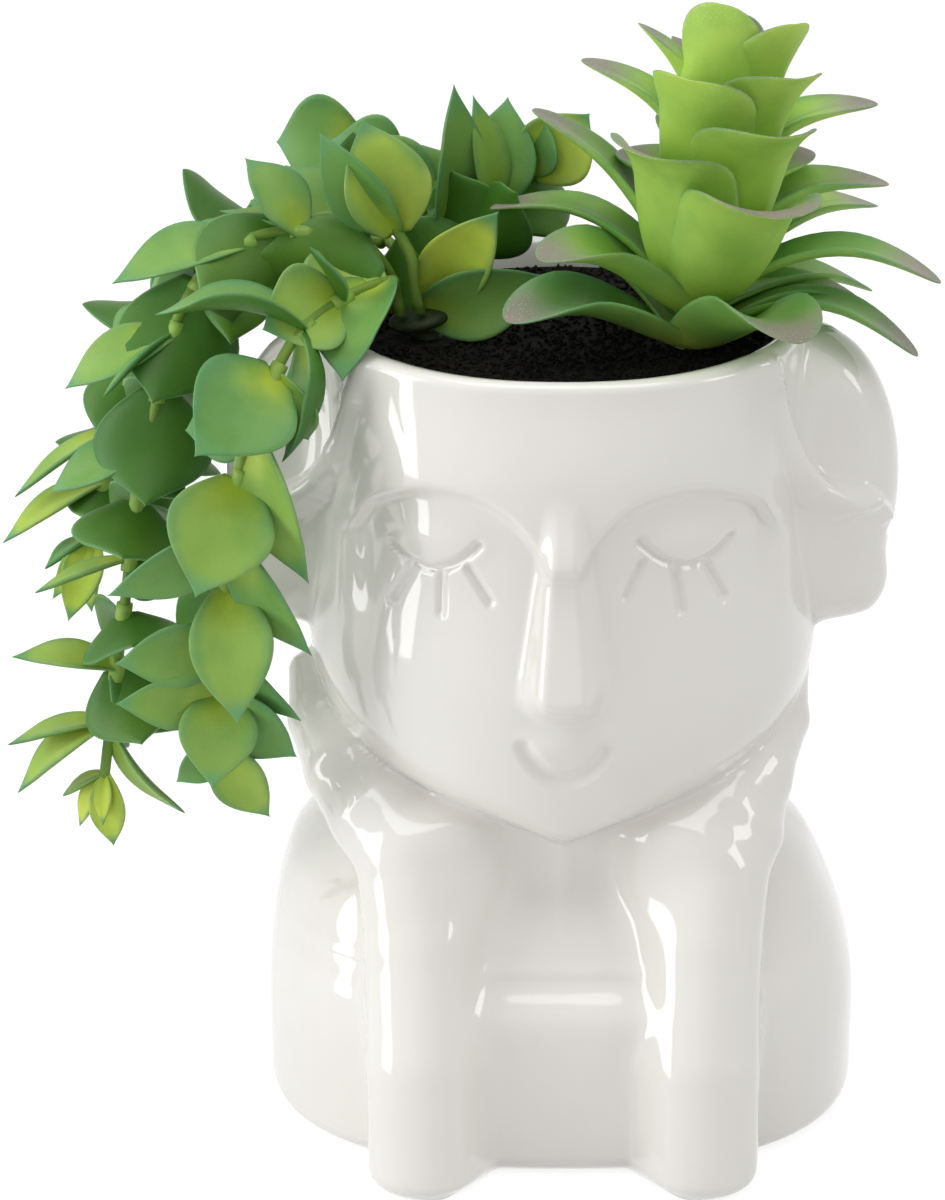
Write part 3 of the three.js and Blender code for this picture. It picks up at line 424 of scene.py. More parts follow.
def outer_reach(angles, heights):
    """How far the casting reaches from the centre line, at each height and angle."""
    dx, dy = np.cos(angles)[None, :], np.sin(angles)[None, :]
    z = heights[:, None]
    outside = np.full((len(heights), len(angles)), 84.0)
    inside = outside.copy()
    free = np.ones(inside.shape, bool)
    while free.any() and inside.min() > 8:
        inside = np.where(free, outside - 1.5, inside)
        free = free & (ceramic_form(inside * dx, inside * dy, z) > 0)
        outside = np.where(free, inside, outside)
    for _ in range(12):
        middle = (outside + inside) / 2
        out = ceramic_form(middle * dx, middle * dy, z) > 0
        outside = np.where(out, middle, outside)
        inside = np.where(out, inside, middle)
    return inside


def soften_steps(reach):
    """Draw the stair steps along undercut edges smooth, and leave the rest alone."""
    for _ in range(8):
        padded = np.pad(reach, ((1, 1), (0, 0)), mode="edge")
        near = [padded[:-2], padded[2:], np.roll(reach, 1, 1), np.roll(reach, -1, 1)]
        jump = np.max(near, axis=0) - np.min(near, axis=0)
        share = 0.6 * ease(0.9, 2.6, jump)
        reach = reach + share * (np.mean(near, axis=0) - reach)
    return reach


def spread(bands):
    """Positions in bands of (from, to, count), without the last end."""
    return np.concatenate([np.linspace(a, b, n, endpoint=False) for a, b, n in bands])


# The grid is finest over the face and hands, and ends just under the rim.
LIP_TOP = POT_HEIGHT - 0.01
half_turn = spread([(0, 52, 100), (52, 96, 70), (96, 180, 34)])
pot_angles = np.radians(np.concatenate([half_turn, [180], -half_turn[:0:-1]]) - 90)
pot_heights = np.append(spread([
    (0, FOOT_ROUNDING, 6), (FOOT_ROUNDING, CHEST_RIDGE_Z - 4, 18),
    (CHEST_RIDGE_Z - 4, SHOULDER_Z, 22), (SHOULDER_Z, MOUTH_Z - 8, 34),
    (MOUTH_Z - 8, NOSE_BASE_Z + 5, 46), (NOSE_BASE_Z + 5, BROW_Z + 3, 70),
    (BROW_Z + 3, POT_HEIGHT - LIP_ROUNDING, 20), (POT_HEIGHT - LIP_ROUNDING, LIP_TOP, 7)]),
    LIP_TOP)


def closed_stack(rows, columns):
    """Faces round a stack of rings, with a cap on each end."""
    i = np.arange(rows - 1)[:, None] * columns
    j = np.arange(columns)[None, :]
    k = (j + 1) % columns
    quads = np.stack([i + j, i + k, i + columns + k, i + columns + j], axis=-1)
    count = rows * columns
    caps = [tuple(range(columns))[::-1], tuple(range(count - columns, count))]
    return [tuple(quad) for quad in quads.reshape(-1, 4)] + caps


def make_piece(name, points, faces, look, body, replaced=(), attributes=None):
    """A smooth piece from millimetre points, placed in the frame and riding on its body."""
    mesh = bpy.data.meshes.new(name)
    mesh.from_pydata((np.asarray(points) * MM).tolist(), [], [list(map(int, f)) for f in faces])
    for key, values in (attributes or {}).items():
        layer = mesh.attributes.new(key, "FLOAT", "POINT")
        layer.data.foreach_set("value", np.asarray(values, np.float32))
    mesh.materials.append(look)
    mesh.shade_smooth()
    mesh.update()
    piece = bpy.data.objects.new(name, mesh)
    bpy.context.scene.collection.objects.link(piece)
    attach(piece, body)
    if replaced:
        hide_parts(*replaced)
    return piece


def pot_ring(radius, z):
    radius = np.broadcast_to(radius, pot_angles.shape)
    return np.stack([
        radius * np.cos(pot_angles), radius * np.sin(pot_angles), np.full(len(pot_angles), z)], 1)


LIP_DROP = 1.6
MIDDLE_RADIUS = 1.0


def pot_surface():
    """The skin from the middle of the foot up, over the lip and down the hollow to its floor."""
    reach = soften_steps(outer_reach(pot_angles, pot_heights))
    rings = [pot_ring(MIDDLE_RADIUS, 0.0)]
    rings += [pot_ring(reach[i], z) for i, z in enumerate(pot_heights)]
    top = reach[-1]
    mouth = RIM_HALF_WIDTH - RIM_WALL
    for turn in (0.25, 0.5, 0.75, 1.0):
        inward = math.sin(turn * math.pi / 2)
        drop = 1 - math.cos(turn * math.pi / 2)
        rings.append(pot_ring(top + (mouth - top) * inward, POT_HEIGHT - LIP_DROP * drop))
    neck = (pot_heights > SHOULDER_Z - 4) & (pot_heights < CHIN_Z + 8)
    waist = np.min(reach[neck]) - NECK_WALL
    # The hollow as (height, radius) from the rim down. It draws in behind the neck.
    hollow = [
        (POT_HEIGHT - 12, mouth), (120, mouth), (96, mouth), (MOUTH_Z + 2, mouth - 2.5),
        (MOUTH_Z - 6, waist + 1), (CHIN_Z + 3, waist), (SHOULDER_Z + 1, waist),
        (CHEST_RIDGE_Z + 6, mouth - 4.5), (CHEST_RIDGE_Z - 8, mouth), (POT_FLOOR + 8, mouth),
        (POT_FLOOR + 2, mouth - 4), (POT_FLOOR, mouth - 8.5), (POT_FLOOR, MIDDLE_RADIUS)]
    rings += [pot_ring(radius, float(z)) for z, radius in hollow]
    return np.concatenate(rings), closed_stack(len(rings), len(pot_angles))


def principled(look):
    look.use_nodes = True
    return look.node_tree, look.node_tree.nodes["Principled BSDF"]


glaze = bpy.data.materials.new("white_glaze")
glaze_tree, glaze_shader = principled(glaze)
glaze_shader.inputs["Roughness"].default_value = 0.07
glaze_shader.inputs["IOR"].default_value = 1.5
glaze_shader.inputs["Coat Weight"].default_value = 0.5
glaze_shader.inputs["Coat Roughness"].default_value = 0.02
glaze_place = add_node(glaze_tree, "ShaderNodeTexCoord")
glaze_cloud = add_node(glaze_tree, "ShaderNodeTexNoise")
glaze_cloud.inputs["Scale"].default_value = 22
glaze_cloud.inputs["Detail"].default_value = 3
glaze_tone = add_node(glaze_tree, "ShaderNodeValToRGB")
glaze_tone.color_ramp.elements[0].position = 0.35
glaze_tone.color_ramp.elements[0].color = (0.83, 0.807, 0.765, 1)
glaze_tone.color_ramp.elements[1].position = 0.65
glaze_tone.color_ramp.elements[1].color = (0.865, 0.845, 0.805, 1)
glaze_wave = add_node(glaze_tree, "ShaderNodeTexNoise")
glaze_wave.inputs["Scale"].default_value = 60
glaze_wave.inputs["Detail"].default_value = 1
glaze_bump = add_node(glaze_tree, "ShaderNodeBump")
glaze_bump.inputs["Strength"].default_value = 0.25
glaze_bump.inputs["Distance"].default_value = 0.0008
for texture in (glaze_cloud, glaze_wave):
    glaze_tree.links.new(glaze_place.outputs["Object"], texture.inputs["Vector"])
glaze_tree.links.new(glaze_cloud.outputs["Fac"], glaze_tone.inputs["Fac"])
glaze_tree.links.new(glaze_tone.outputs["Color"], glaze_shader.inputs["Base Color"])
glaze_tree.links.new(glaze_wave.outputs["Fac"], glaze_bump.inputs["Height"])
glaze_tree.links.new(glaze_bump.outputs["Normal"], glaze_shader.inputs["Normal"])

pot_points, pot_faces = pot_surface()
make_piece("glazed_pot", pot_points, pot_faces, glaze, "pot", ["pot"])


# Foam and grit: a block of dark green florist's foam fills the hollow, with a layer of black
# grit glued on top. Loose grains are strewn over the layer, none where a stem stands.
SOIL_TOP = 156
SOIL_BORE = 44.1
GRAIN_REACH = SOIL_BORE - 0.9
GRAIN_LIFT = 0.15
TRAIL_STEM_PLACE = ((-27.6, 0), 7.8)
ROSETTE_STEM_PLACE = ((25, -6), 4.2)
grit_look = bpy.data.materials.new("black_grit")
grit_tree, grit_shader = principled(grit_look)
grit_shader.inputs["Roughness"].default_value = 0.9
grit_shader.inputs["Specular IOR Level"].default_value = 0.15
grit_place = add_node(grit_tree, "ShaderNodeTexCoord")
grit_speck = add_node(grit_tree, "ShaderNodeTexNoise")
grit_speck.inputs["Scale"].default_value = 900
grit_tone = add_node(grit_tree, "ShaderNodeValToRGB")
grit_tone.color_ramp.elements[0].position = 0.4
grit_tone.color_ramp.elements[0].color = (0.0022, 0.0020, 0.0016, 1)
grit_tone.color_ramp.elements[1].position = 0.75
grit_tone.color_ramp.elements[1].color = (0.014, 0.012, 0.009, 1)
grit_bump = add_node(grit_tree, "ShaderNodeBump")
grit_bump.inputs["Distance"].default_value = 0.0006
grit_tree.links.new(grit_place.outputs["Object"], grit_speck.inputs["Vector"])
grit_tree.links.new(grit_speck.outputs["Fac"], grit_tone.inputs["Fac"])
grit_tree.links.new(grit_tone.outputs["Color"], grit_shader.inputs["Base Color"])
grit_tree.links.new(grit_speck.outputs["Fac"], grit_bump.inputs["Height"])
grit_tree.links.new(grit_bump.outputs["Normal"], grit_shader.inputs["Normal"])


def add_socket(group, way, kind, name, value=None):
    socket = group.interface.new_socket(name, in_out=way, socket_type="NodeSocket" + kind)
    if value is not None:
        socket.default_value = value
    return socket


def grain_tree(stem_places):
    """Grains strewn over a disc, none within a radius of each stem."""
    tree = bpy.data.node_groups.new("strewn_grains", "GeometryNodeTree")
    add_socket(tree, "OUTPUT", "Geometry", "Geometry")
    add_socket(tree, "INPUT", "Geometry", "Geometry")
    names = {}
    for name, value in (("Layer Radius", 0.043), ("Grain Size", 0.0007), ("Grains per m2", 5.5e5)):
        names[name] = add_socket(tree, "INPUT", "Float", name, value).identifier
    given = add_node(tree, "NodeGroupInput")
    made = add_node(tree, "NodeGroupOutput")
    disc = add_node(tree, "GeometryNodeMeshCircle", fill_type="TRIANGLE_FAN")
    disc.inputs["Vertices"].default_value = 64
    strewn = add_node(tree, "GeometryNodeDistributePointsOnFaces")
    strewn.inputs["Seed"].default_value = 7
    grain = add_node(tree, "GeometryNodeMeshIcoSphere")
    grain.inputs["Subdivisions"].default_value = 1
    place = add_node(tree, "GeometryNodeInstanceOnPoints")
    turn = add_node(tree, "FunctionNodeRandomValue", data_type="FLOAT_VECTOR")
    turn.inputs["Max"].default_value = (6.28, 6.28, 6.28)
    turn.inputs["Seed"].default_value = 3
    size = add_node(tree, "FunctionNodeRandomValue", data_type="FLOAT_VECTOR")
    size.inputs["Min"].default_value = (0.35, 0.3, 0.35)
    size.inputs["Max"].default_value = (1.5, 0.8, 0.9)
    size.inputs["Seed"].default_value = 5
    plain = add_node(tree, "GeometryNodeRealizeInstances")
    finish = add_node(tree, "GeometryNodeSetMaterial")
    finish.inputs["Material"].default_value = grit_look
    clear = add_node(tree, "GeometryNodeDeleteGeometry", domain="POINT")
    where = add_node(tree, "GeometryNodeInputPosition")
    near_stem = None
    for centre, radius in stem_places:
        away = add_node(tree, "ShaderNodeVectorMath", operation="DISTANCE")
        away.inputs[1].default_value = (centre[0] * MM, centre[1] * MM, 0)
        tree.links.new(where.outputs[0], away.inputs[0])
        inside = add_node(tree, "ShaderNodeMath", operation="LESS_THAN")
        inside.inputs[1].default_value = radius * MM
        tree.links.new(away.outputs["Value"], inside.inputs[0])
        if near_stem is None:
            near_stem = inside.outputs[0]
        else:
            either = add_node(tree, "ShaderNodeMath", operation="MAXIMUM")
            tree.links.new(near_stem, either.inputs[0])
            tree.links.new(inside.outputs[0], either.inputs[1])
            near_stem = either.outputs[0]
    link = tree.links.new
    link(given.outputs["Layer Radius"], disc.inputs["Radius"])
    link(given.outputs["Grain Size"], grain.inputs["Radius"])
    link(given.outputs["Grains per m2"], strewn.inputs["Density"])
    link(disc.outputs["Mesh"], strewn.inputs["Mesh"])
    link(strewn.outputs["Points"], clear.inputs["Geometry"])
    link(near_stem, clear.inputs["Selection"])
    link(clear.outputs["Geometry"], place.inputs["Points"])
    link(grain.outputs["Mesh"], place.inputs["Instance"])
    link(turn.outputs["Value"], place.inputs["Rotation"])
    link(size.outputs["Value"], place.inputs["Scale"])
    link(place.outputs["Instances"], plain.inputs["Geometry"])
    link(plain.outputs["Geometry"], finish.inputs["Geometry"])
    link(finish.outputs["Geometry"], made.inputs["Geometry"])
    return tree, names


grain_group, grain_inputs = grain_tree([ROSETTE_STEM_PLACE, TRAIL_STEM_PLACE])
strew = bpy.data.objects.new("strew", bpy.data.meshes.new("strew"))
bpy.context.scene.collection.objects.link(strew)
strewing = strew.modifiers.new("strewn", "NODES")
strewing.node_group = grain_group
strewing[grain_inputs["Layer Radius"]] = GRAIN_REACH * MM
grains_mesh = bpy.data.meshes.new_from_object(
    strew.evaluated_get(bpy.context.evaluated_depsgraph_get()))
bpy.data.objects.remove(strew)
grain_points = np.empty(len(grains_mesh.vertices) * 3, np.float32)
grains_mesh.vertices.foreach_get("co", grain_points)
grain_points = grain_points.reshape(-1, 3)
grain_points[:, 2] += (SOIL_TOP + GRAIN_LIFT) * MM
grains_mesh.vertices.foreach_set("co", grain_points.ravel())
grains_mesh.update()
grains = bpy.data.objects.new("grit_grains", grains_mesh)
bpy.context.scene.collection.objects.link(grains)
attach(grains, "planting")
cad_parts["soil_layer"].data.materials.clear()
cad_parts["soil_layer"].data.materials.append(grit_look)

foam_look = bpy.data.materials.new("florist_foam")
foam_tree, foam_shader = principled(foam_look)
foam_shader.inputs["Roughness"].default_value = 0.9
foam_place = add_node(foam_tree, "ShaderNodeTexCoord")
foam_cells = add_node(foam_tree, "ShaderNodeTexVoronoi")
foam_cells.inputs["Scale"].default_value = 700
foam_tone = add_node(foam_tree, "ShaderNodeValToRGB")
foam_tone.color_ramp.elements[0].color = (0.010, 0.022, 0.012, 1)
foam_tone.color_ramp.elements[1].color = (0.028, 0.060, 0.032, 1)
foam_tree.links.new(foam_place.outputs["Object"], foam_cells.inputs["Vector"])
foam_tree.links.new(foam_cells.outputs["Distance"], foam_tone.inputs["Fac"])
foam_tree.links.new(foam_tone.outputs["Color"], foam_shader.inputs["Base Color"])
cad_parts["foam_plug"].data.materials.clear()
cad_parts["foam_plug"].data.materials.append(foam_look)


# Trailing succulent, in soft moulded plastic: a stake with seven stems that arch over the left
# rim, and pairs of thick pointed leaves threaded on each stem. A leaf has a rounded edge and
# a cupped upper face, and runs from a root on its stem to a tip that the photograph shows.
PIXEL = 0.2


def at_picture(px, py, depth):
    """The point at that depth which shows at a pixel of the 945 x 1200 photograph."""
    return seen(px * PIXEL, py * PIXEL, depth)


def unit(v):
    return v / np.linalg.norm(v)


def ways_along(centre):
    """Unit directions along a line of points."""
    tangent = np.gradient(centre, axis=0)
    return tangent / np.linalg.norm(tangent, axis=1)[:, None]


LEAF_ROWS = 24
LEAF_LOOP = 22
ROLL_FROM = 0.66
GOLDEN_SHARE = 0.6180339
leaf_t = np.concatenate([[0], (1 - np.cos(np.linspace(0.12, 0.998, LEAF_ROWS) * math.pi)) / 2])
loop_turn = np.arange(LEAF_LOOP) * 2 * math.pi / LEAF_LOOP
loop_s = np.cos(loop_turn)
loop_n = np.sign(np.sin(loop_turn)) * np.abs(np.sin(loop_turn)) ** 0.55


def egg_outline(t, shoulder, base, point):
    """Half width along a leaf, 0 to 1: widest at shoulder, base wide at the root."""
    rise = base + (1 - base) * np.sin(np.clip(t / shoulder, 0, 1) * math.pi / 2)
    fall = np.clip((1 - t) / (1 - shoulder), 0, 1)
    return rise * (1 - (1 - fall) ** 2) ** point


def leaf_shell(root, tip, up, width, shoulder=0.45, base=0.3, point=0.8, bow=0.1, cup=0.6,
               lip=0.0, thickness=1.6, young=0.0, seed=0):
    """Points, faces and shading values of one leaf, its upper face turned towards up."""
    axis = tip - root
    length = np.linalg.norm(axis)
    along = axis / length
    up = unit(up - along * up.dot(along))
    side = np.cross(up, along)
    t = leaf_t
    lift = bow * length * np.sin(math.pi * t ** 0.85)
    roll = np.clip((t - ROLL_FROM) / (1 - ROLL_FROM), 0, 1)
    lift = lift + lip * ease(0, ROLL_FROM, t) * (1 - roll ** 2)
    centre = root + along * (length * t)[:, None] + up * lift[:, None]
    tangent = ways_along(centre)
    normal = np.cross(tangent, np.broadcast_to(side, tangent.shape))
    half = width / 2 * egg_outline(t, shoulder, base, point)
    bend = (cup * (1 - 0.8 * roll) + 0.02)[:, None]
    angle = bend * loop_s[None, :]
    out = half[:, None] * np.sin(angle) / bend
    rise = half[:, None] * (1 - np.cos(angle)) / bend
    crease = -0.25 * np.exp(-(loop_s / 0.22) ** 2)[None, :] * (1 - t[:, None])
    thick = thickness / 2 * (0.55 + 0.45 * np.sin(math.pi * t)) * np.sqrt(1.02 - t ** 12)
    thick = thick[:, None]
    depth = thick * loop_n[None, :] + rise + crease * (loop_n > 0)
    points = (centre[:, None, :] + out[..., None] * side + depth[..., None] * normal[:, None, :])
    rows, columns = points.shape[:2]
    shade = {
        "along": np.repeat(t, columns),
        "across": np.tile(loop_s, rows),
        "under": np.tile((loop_n < 0).astype(float), rows),
        "young": np.full(rows * columns, float(young)),
        "leaf": np.full(rows * columns, (seed * GOLDEN_SHARE) % 1.0)}
    return points.reshape(-1, 3), closed_stack(rows, columns), shade


def plain_shade(count, along=0.5, across=0.5):
    """Shading values of a stem or crown, which has no heart, edge or tip."""
    values = {"along": along, "across": across, "under": 0.0, "young": 0.3, "leaf": 0.5}
    return {key: np.full(count, value) for key, value in values.items()}


def tube_shell(centre, radius, sides=10):
    """A round closed rod along points, with its sides carried along."""
    tangent = ways_along(centre)
    side = unit(np.cross(tangent[0], [0.3, 1, 0.2]))
    turn = (np.arange(sides) * 2 * math.pi / sides)[:, None]
    rings = []
    for place, way in zip(centre, tangent):
        side = unit(side - way * side.dot(way))
        across = np.cross(way, side)
        rings.append(place + radius * (np.cos(turn) * side + np.sin(turn) * across))
    return np.concatenate(rings), closed_stack(len(centre), sides), plain_shade(len(centre) * sides)


def join_shells(shells):
    points, faces, shades, start = [], [], [], 0
    for shell_points, shell_faces, shade in shells:
        points.append(shell_points)
        faces += [tuple(start + i for i in face) for face in shell_faces]
        shades.append(shade)
        start += len(shell_points)
    shade = {key: np.concatenate([one[key] for one in shades]) for key in shades[0]}
    return np.concatenate(points), faces, shade


def read_value(tree, name):
    node = add_node(tree, "ShaderNodeAttribute", attribute_name=name)
    return node.outputs["Fac"]


def feed(tree, socket, value):
    """Set a socket to a number or a colour, or link it to another node."""
    if isinstance(value, tuple):
        socket.default_value = (*value, 1)
    elif isinstance(value, (int, float)):
        socket.default_value = value
    else:
        tree.links.new(value, socket)


def mix_colour(tree, factor, first, second, blend="MIX"):
    node = add_node(tree, "ShaderNodeMix", data_type="RGBA", blend_type=blend)
    for socket, value in ((node.inputs["Factor"], factor), (node.inputs[6], first),
                          (node.inputs[7], second)):
        feed(tree, socket, value)
    return node.outputs[2]


def ramp(tree, factor, low, high):
    """A smooth rise from 0 at low to 1 at high."""
    node = add_node(tree, "ShaderNodeMapRange", interpolation_type="SMOOTHSTEP")
    for name, value in (("Value", factor), ("From Min", low), ("From Max", high)):
        feed(tree, node.inputs[name], value)
    return node.outputs["Result"]


def compute(tree, operation, *values):
    node = add_node(tree, "ShaderNodeMath", operation=operation)
    for socket, value in zip(node.inputs, values):
        feed(tree, socket, value)
    return node.outputs[0]


# The colouring of all the soft plastic, built once: a yellow heart that fades outwards, a
# greener blade, a tinted tip and edge, and a darker side below. Each leaf is a little
# different, and some ends are dusted with pale grains.
LEAF_TONES = ("Heart", "Blade", "Tip", "Below", "Below Root", "Lime", "Lime Below", "Margin")
CLOUD_TONE = (0.70, 0.82, 0.74)
DUST_TONE = (0.72, 0.76, 0.68)
leaf_group = bpy.data.node_groups.new("moulded_leaf", "ShaderNodeTree")
for tone in LEAF_TONES:
    add_socket(leaf_group, "INPUT", "Color", tone)
add_socket(leaf_group, "INPUT", "Float", "Rib", 0.0)
add_socket(leaf_group, "INPUT", "Float", "Tip From", 0.76)
add_socket(leaf_group, "INPUT", "Float", "Grains", 0.0)
add_socket(leaf_group, "OUTPUT", "Color", "Colour")
add_socket(leaf_group, "OUTPUT", "Vector", "Normal")


def draw_leaf_colour(tree):
    given = add_node(tree, "NodeGroupInput").outputs
    made = add_node(tree, "NodeGroupOutput").inputs
    place = add_node(tree, "ShaderNodeTexCoord")
    mottle = add_node(tree, "ShaderNodeTexNoise")
    mottle.inputs["Detail"].default_value = 5
    grain = add_node(tree, "ShaderNodeTexNoise")
    speck = add_node(tree, "ShaderNodeTexVoronoi")
    for texture, scale in ((mottle, 90), (grain, 1500), (speck, 1300)):
        texture.inputs["Scale"].default_value = scale
        tree.links.new(place.outputs["Object"], texture.inputs["Vector"])
    along, young, under = [read_value(tree, name) for name in ("along", "young", "under")]
    across = compute(tree, "ABSOLUTE", read_value(tree, "across"))
    cloud = mottle.outputs["Fac"]

    from_root = compute(tree, "POWER", compute(tree, "MULTIPLY", along, 1.7), 2.0)
    from_rib = compute(tree, "POWER", compute(tree, "MULTIPLY", across, 0.75), 2.0)
    reach = compute(tree, "SQRT", compute(tree, "ADD", from_root, from_rib))
    stray = compute(tree, "MULTIPLY", compute(tree, "SUBTRACT", cloud, 0.5), 0.5)
    reach = compute(tree, "ADD", reach, stray)

    own = compute(tree, "MULTIPLY", read_value(tree, "leaf"), 0.25)
    blade = mix_colour(tree, young, given["Blade"], given["Lime"])
    blade = mix_colour(tree, own, blade, given["Heart"])
    upper = mix_colour(tree, ramp(tree, reach, 0.0, 0.85), given["Heart"], blade)
    rib = compute(tree, "SUBTRACT", 1.0, ramp(tree, across, 0.03, 0.10))
    rib = compute(tree, "MULTIPLY", rib, given["Rib"])
    upper = mix_colour(tree, rib, upper, given["Margin"])
    upper = mix_colour(tree, ramp(tree, along, given["Tip From"], 0.94), upper, given["Tip"])
    lower = mix_colour(tree, young, given["Below"], given["Lime Below"])
    lower = mix_colour(tree, ramp(tree, along, 0.0, 0.5), given["Below Root"], lower)
    whole = mix_colour(tree, under, upper, lower)

    edge = compute(tree, "MULTIPLY", ramp(tree, across, 0.55, 1.0), 0.6)
    edge = compute(tree, "MULTIPLY", edge, ramp(tree, cloud, 0.2, 0.6))
    above = compute(tree, "SUBTRACT", 1.0, compute(tree, "MULTIPLY", under, 0.7))
    whole = mix_colour(tree, compute(tree, "MULTIPLY", edge, above), whole, given["Margin"])
    clouded = compute(tree, "MULTIPLY", ramp(tree, cloud, 0.35, 0.7), 0.8)
    whole = mix_colour(tree, clouded, whole, CLOUD_TONE, "MULTIPLY")

    spots = compute(tree, "SUBTRACT", 1.0, ramp(tree, speck.outputs["Distance"], 0.12, 0.28))
    end = compute(tree, "MULTIPLY", ramp(tree, along, 0.74, 0.96), ramp(tree, cloud, 0.3, 0.6))
    dust = compute(tree, "MULTIPLY", compute(tree, "MULTIPLY", spots, end), given["Grains"])
    tree.links.new(mix_colour(tree, dust, whole, DUST_TONE), made["Colour"])
    bump = add_node(tree, "ShaderNodeBump")
    bump.inputs["Strength"].default_value = 0.3
    bump.inputs["Distance"].default_value = 0.0002
    tree.links.new(grain.outputs["Fac"], bump.inputs["Height"])
    tree.links.new(bump.outputs["Normal"], made["Normal"])


draw_leaf_colour(leaf_group)


def leaf_material(name, roughness, tones, rib=0.0, tip_from=0.76, grains=0.0):
    """Soft moulded plastic in the group's colouring, with a little light under its skin."""
    look = bpy.data.materials.new(name)
    tree, shader = principled(look)
    shader.inputs["Roughness"].default_value = roughness
    shader.inputs["Specular IOR Level"].default_value = 0.3
    shader.inputs["Subsurface Weight"].default_value = 0.12
    shader.inputs["Subsurface Scale"].default_value = 0.002
    colouring = add_node(tree, "ShaderNodeGroup", node_tree=leaf_group)
    for tone, value in zip(LEAF_TONES, tones):
        feed(tree, colouring.inputs[tone], value)
    for share, value in (("Rib", rib), ("Tip From", tip_from), ("Grains", grains)):
        feed(tree, colouring.inputs[share], value)
    tree.links.new(colouring.outputs["Colour"], shader.inputs["Base Color"])
    tree.links.new(colouring.outputs["Normal"], shader.inputs["Normal"])
    return look


TRAIL_BELOW = (0.062, 0.18, 0.018)
trail_leaf = leaf_material("trailing_leaf", 0.42, [
    (0.46, 0.58, 0.05), (0.135, 0.33, 0.09), (0.15, 0.37, 0.14), TRAIL_BELOW, TRAIL_BELOW,
    (0.56, 0.70, 0.09), (0.22, 0.36, 0.03), (0.10, 0.30, 0.14)])
STEM_GREEN = (0.16, 0.28, 0.05)
STEM_LIME = (0.24, 0.36, 0.04)
stem_look = leaf_material("leaf_stem", 0.45, [
    (0.18, 0.30, 0.04), STEM_GREEN, STEM_GREEN, STEM_GREEN, STEM_GREEN, STEM_LIME, STEM_LIME,
    (0.14, 0.26, 0.05)])
CROWN_DARK = (0.022, 0.034, 0.011)
CROWN_LIGHT = (0.04, 0.06, 0.015)
crown_look = leaf_material("stake_crown", 0.6, [
    (0.030, 0.045, 0.014), CROWN_DARK, CROWN_DARK, CROWN_DARK, CROWN_DARK, CROWN_LIGHT,
    CROWN_LIGHT, (0.022, 0.036, 0.015)])

TRAIL_FOOT = np.array([-27, 0, SOIL_TOP])
TRAIL_LEAN = math.radians(14)
TRAIL_AXIS = np.array([-math.sin(TRAIL_LEAN), 0, math.cos(TRAIL_LEAN)])
TRAIL_FRONT = np.array([0, -1.0, 0])
TRAIL_ACROSS = np.cross(TRAIL_AXIS, TRAIL_FRONT)
CROWN_RADIUS = 7.5
CROWN_TOP = 4.35 + CROWN_RADIUS * math.sin(TRAIL_LEAN)
ROOT_GAP = 0.35
BRANCH_RING = 5.3
INTERNODE = 11.5
COLLAR_REACH = 2.4
COLLAR_RADIUS = 1.7
STEM_RADIUS = 1.1
STAKE_RADIUS = 3.0
STAKE_DEPTH = 32


def smooth_route(points, step):
    """Even steps of the given length along a smooth curve through points."""
    p = [np.array(q, float) for q in points]
    p = [2 * p[0] - p[1]] + p + [2 * p[-1] - p[-2]]
    t = np.linspace(0, 1, 40, endpoint=False)[:, None]
    dense = []
    for p0, p1, p2, p3 in zip(p, p[1:], p[2:], p[3:]):
        d0, d1, d2 = [math.sqrt(np.linalg.norm(b - a)) for a, b in ((p0, p1), (p1, p2), (p2, p3))]
        m1 = ((p1 - p0) / d0 - (p2 - p0) / (d0 + d1) + (p2 - p1) / d1) * d1
        m2 = ((p2 - p1) / d1 - (p3 - p1) / (d1 + d2) + (p3 - p2) / d2) * d1
        dense.append((2 * t ** 3 - 3 * t ** 2 + 1) * p1 + (t ** 3 - 2 * t ** 2 + t) * m1
                     + (3 * t ** 2 - 2 * t ** 3) * p2 + (t ** 3 - t ** 2) * m2)
    dense = np.vstack(dense + [p[-2]])
    run = np.concatenate([[0], np.cumsum(np.linalg.norm(np.diff(dense, axis=0), axis=1))])
    even = np.linspace(0, run[-1], max(2, round(run[-1] / step)) + 1)
    return np.stack([np.interp(even, run, dense[:, k]) for k in range(3)], 1)


def branch_root(bearing, height):
    """Where a branch stands over the crown, at a bearing from the front."""
    turn = math.radians(bearing)
    return (TRAIL_FOOT + TRAIL_AXIS * (CROWN_TOP + ROOT_GAP + height)
            + BRANCH_RING * (math.cos(turn) * TRAIL_FRONT + math.sin(turn) * TRAIL_ACROSS))


# Each branch: its bearing on the crown, and its route as (across, back, above the rim).
BRANCHES = {
    "front": (-40, [(-34, -11, 9), (-44, -20, 8), (-52, -29, 4), (-58, -35, -6), (-63, -38, -20),
                    (-66, -38, -46), (-67, -38, -70), (-68, -37, -84)]),
    "left": (-85, [(-42, -4, 15), (-54, -7, 18), (-66, -9, 15), (-75, -13, 4), (-80, -16, -14),
                   (-84, -17, -34), (-87, -18, -58), (-90, -16, -82), (-92, -14, -99)]),
    "outer": (-130, [(-42, 4, 14), (-54, 7, 13), (-66, 8, 8), (-76, 8, 0), (-83, 8, -11),
                     (-88, 8, -24), (-92, 8, -40), (-95, 7, -57)]),
    "rear": (180, [(-38, 15, 11), (-52, 21, 11), (-66, 25, 5), (-76, 27, -7), (-82, 27, -24),
                   (-85, 27, -42), (-86, 26, -58)]),
    "crown": (5, [(-30, -5, 12), (-36, -4, 22)]),
    "upper": (135, [(-23, 18, 10), (-33, 31, 20), (-45, 40, 24)]),
    "back": (90, [(-19, 8, 8), (-12, 17, 18), (-2, 22, 24)]),
}

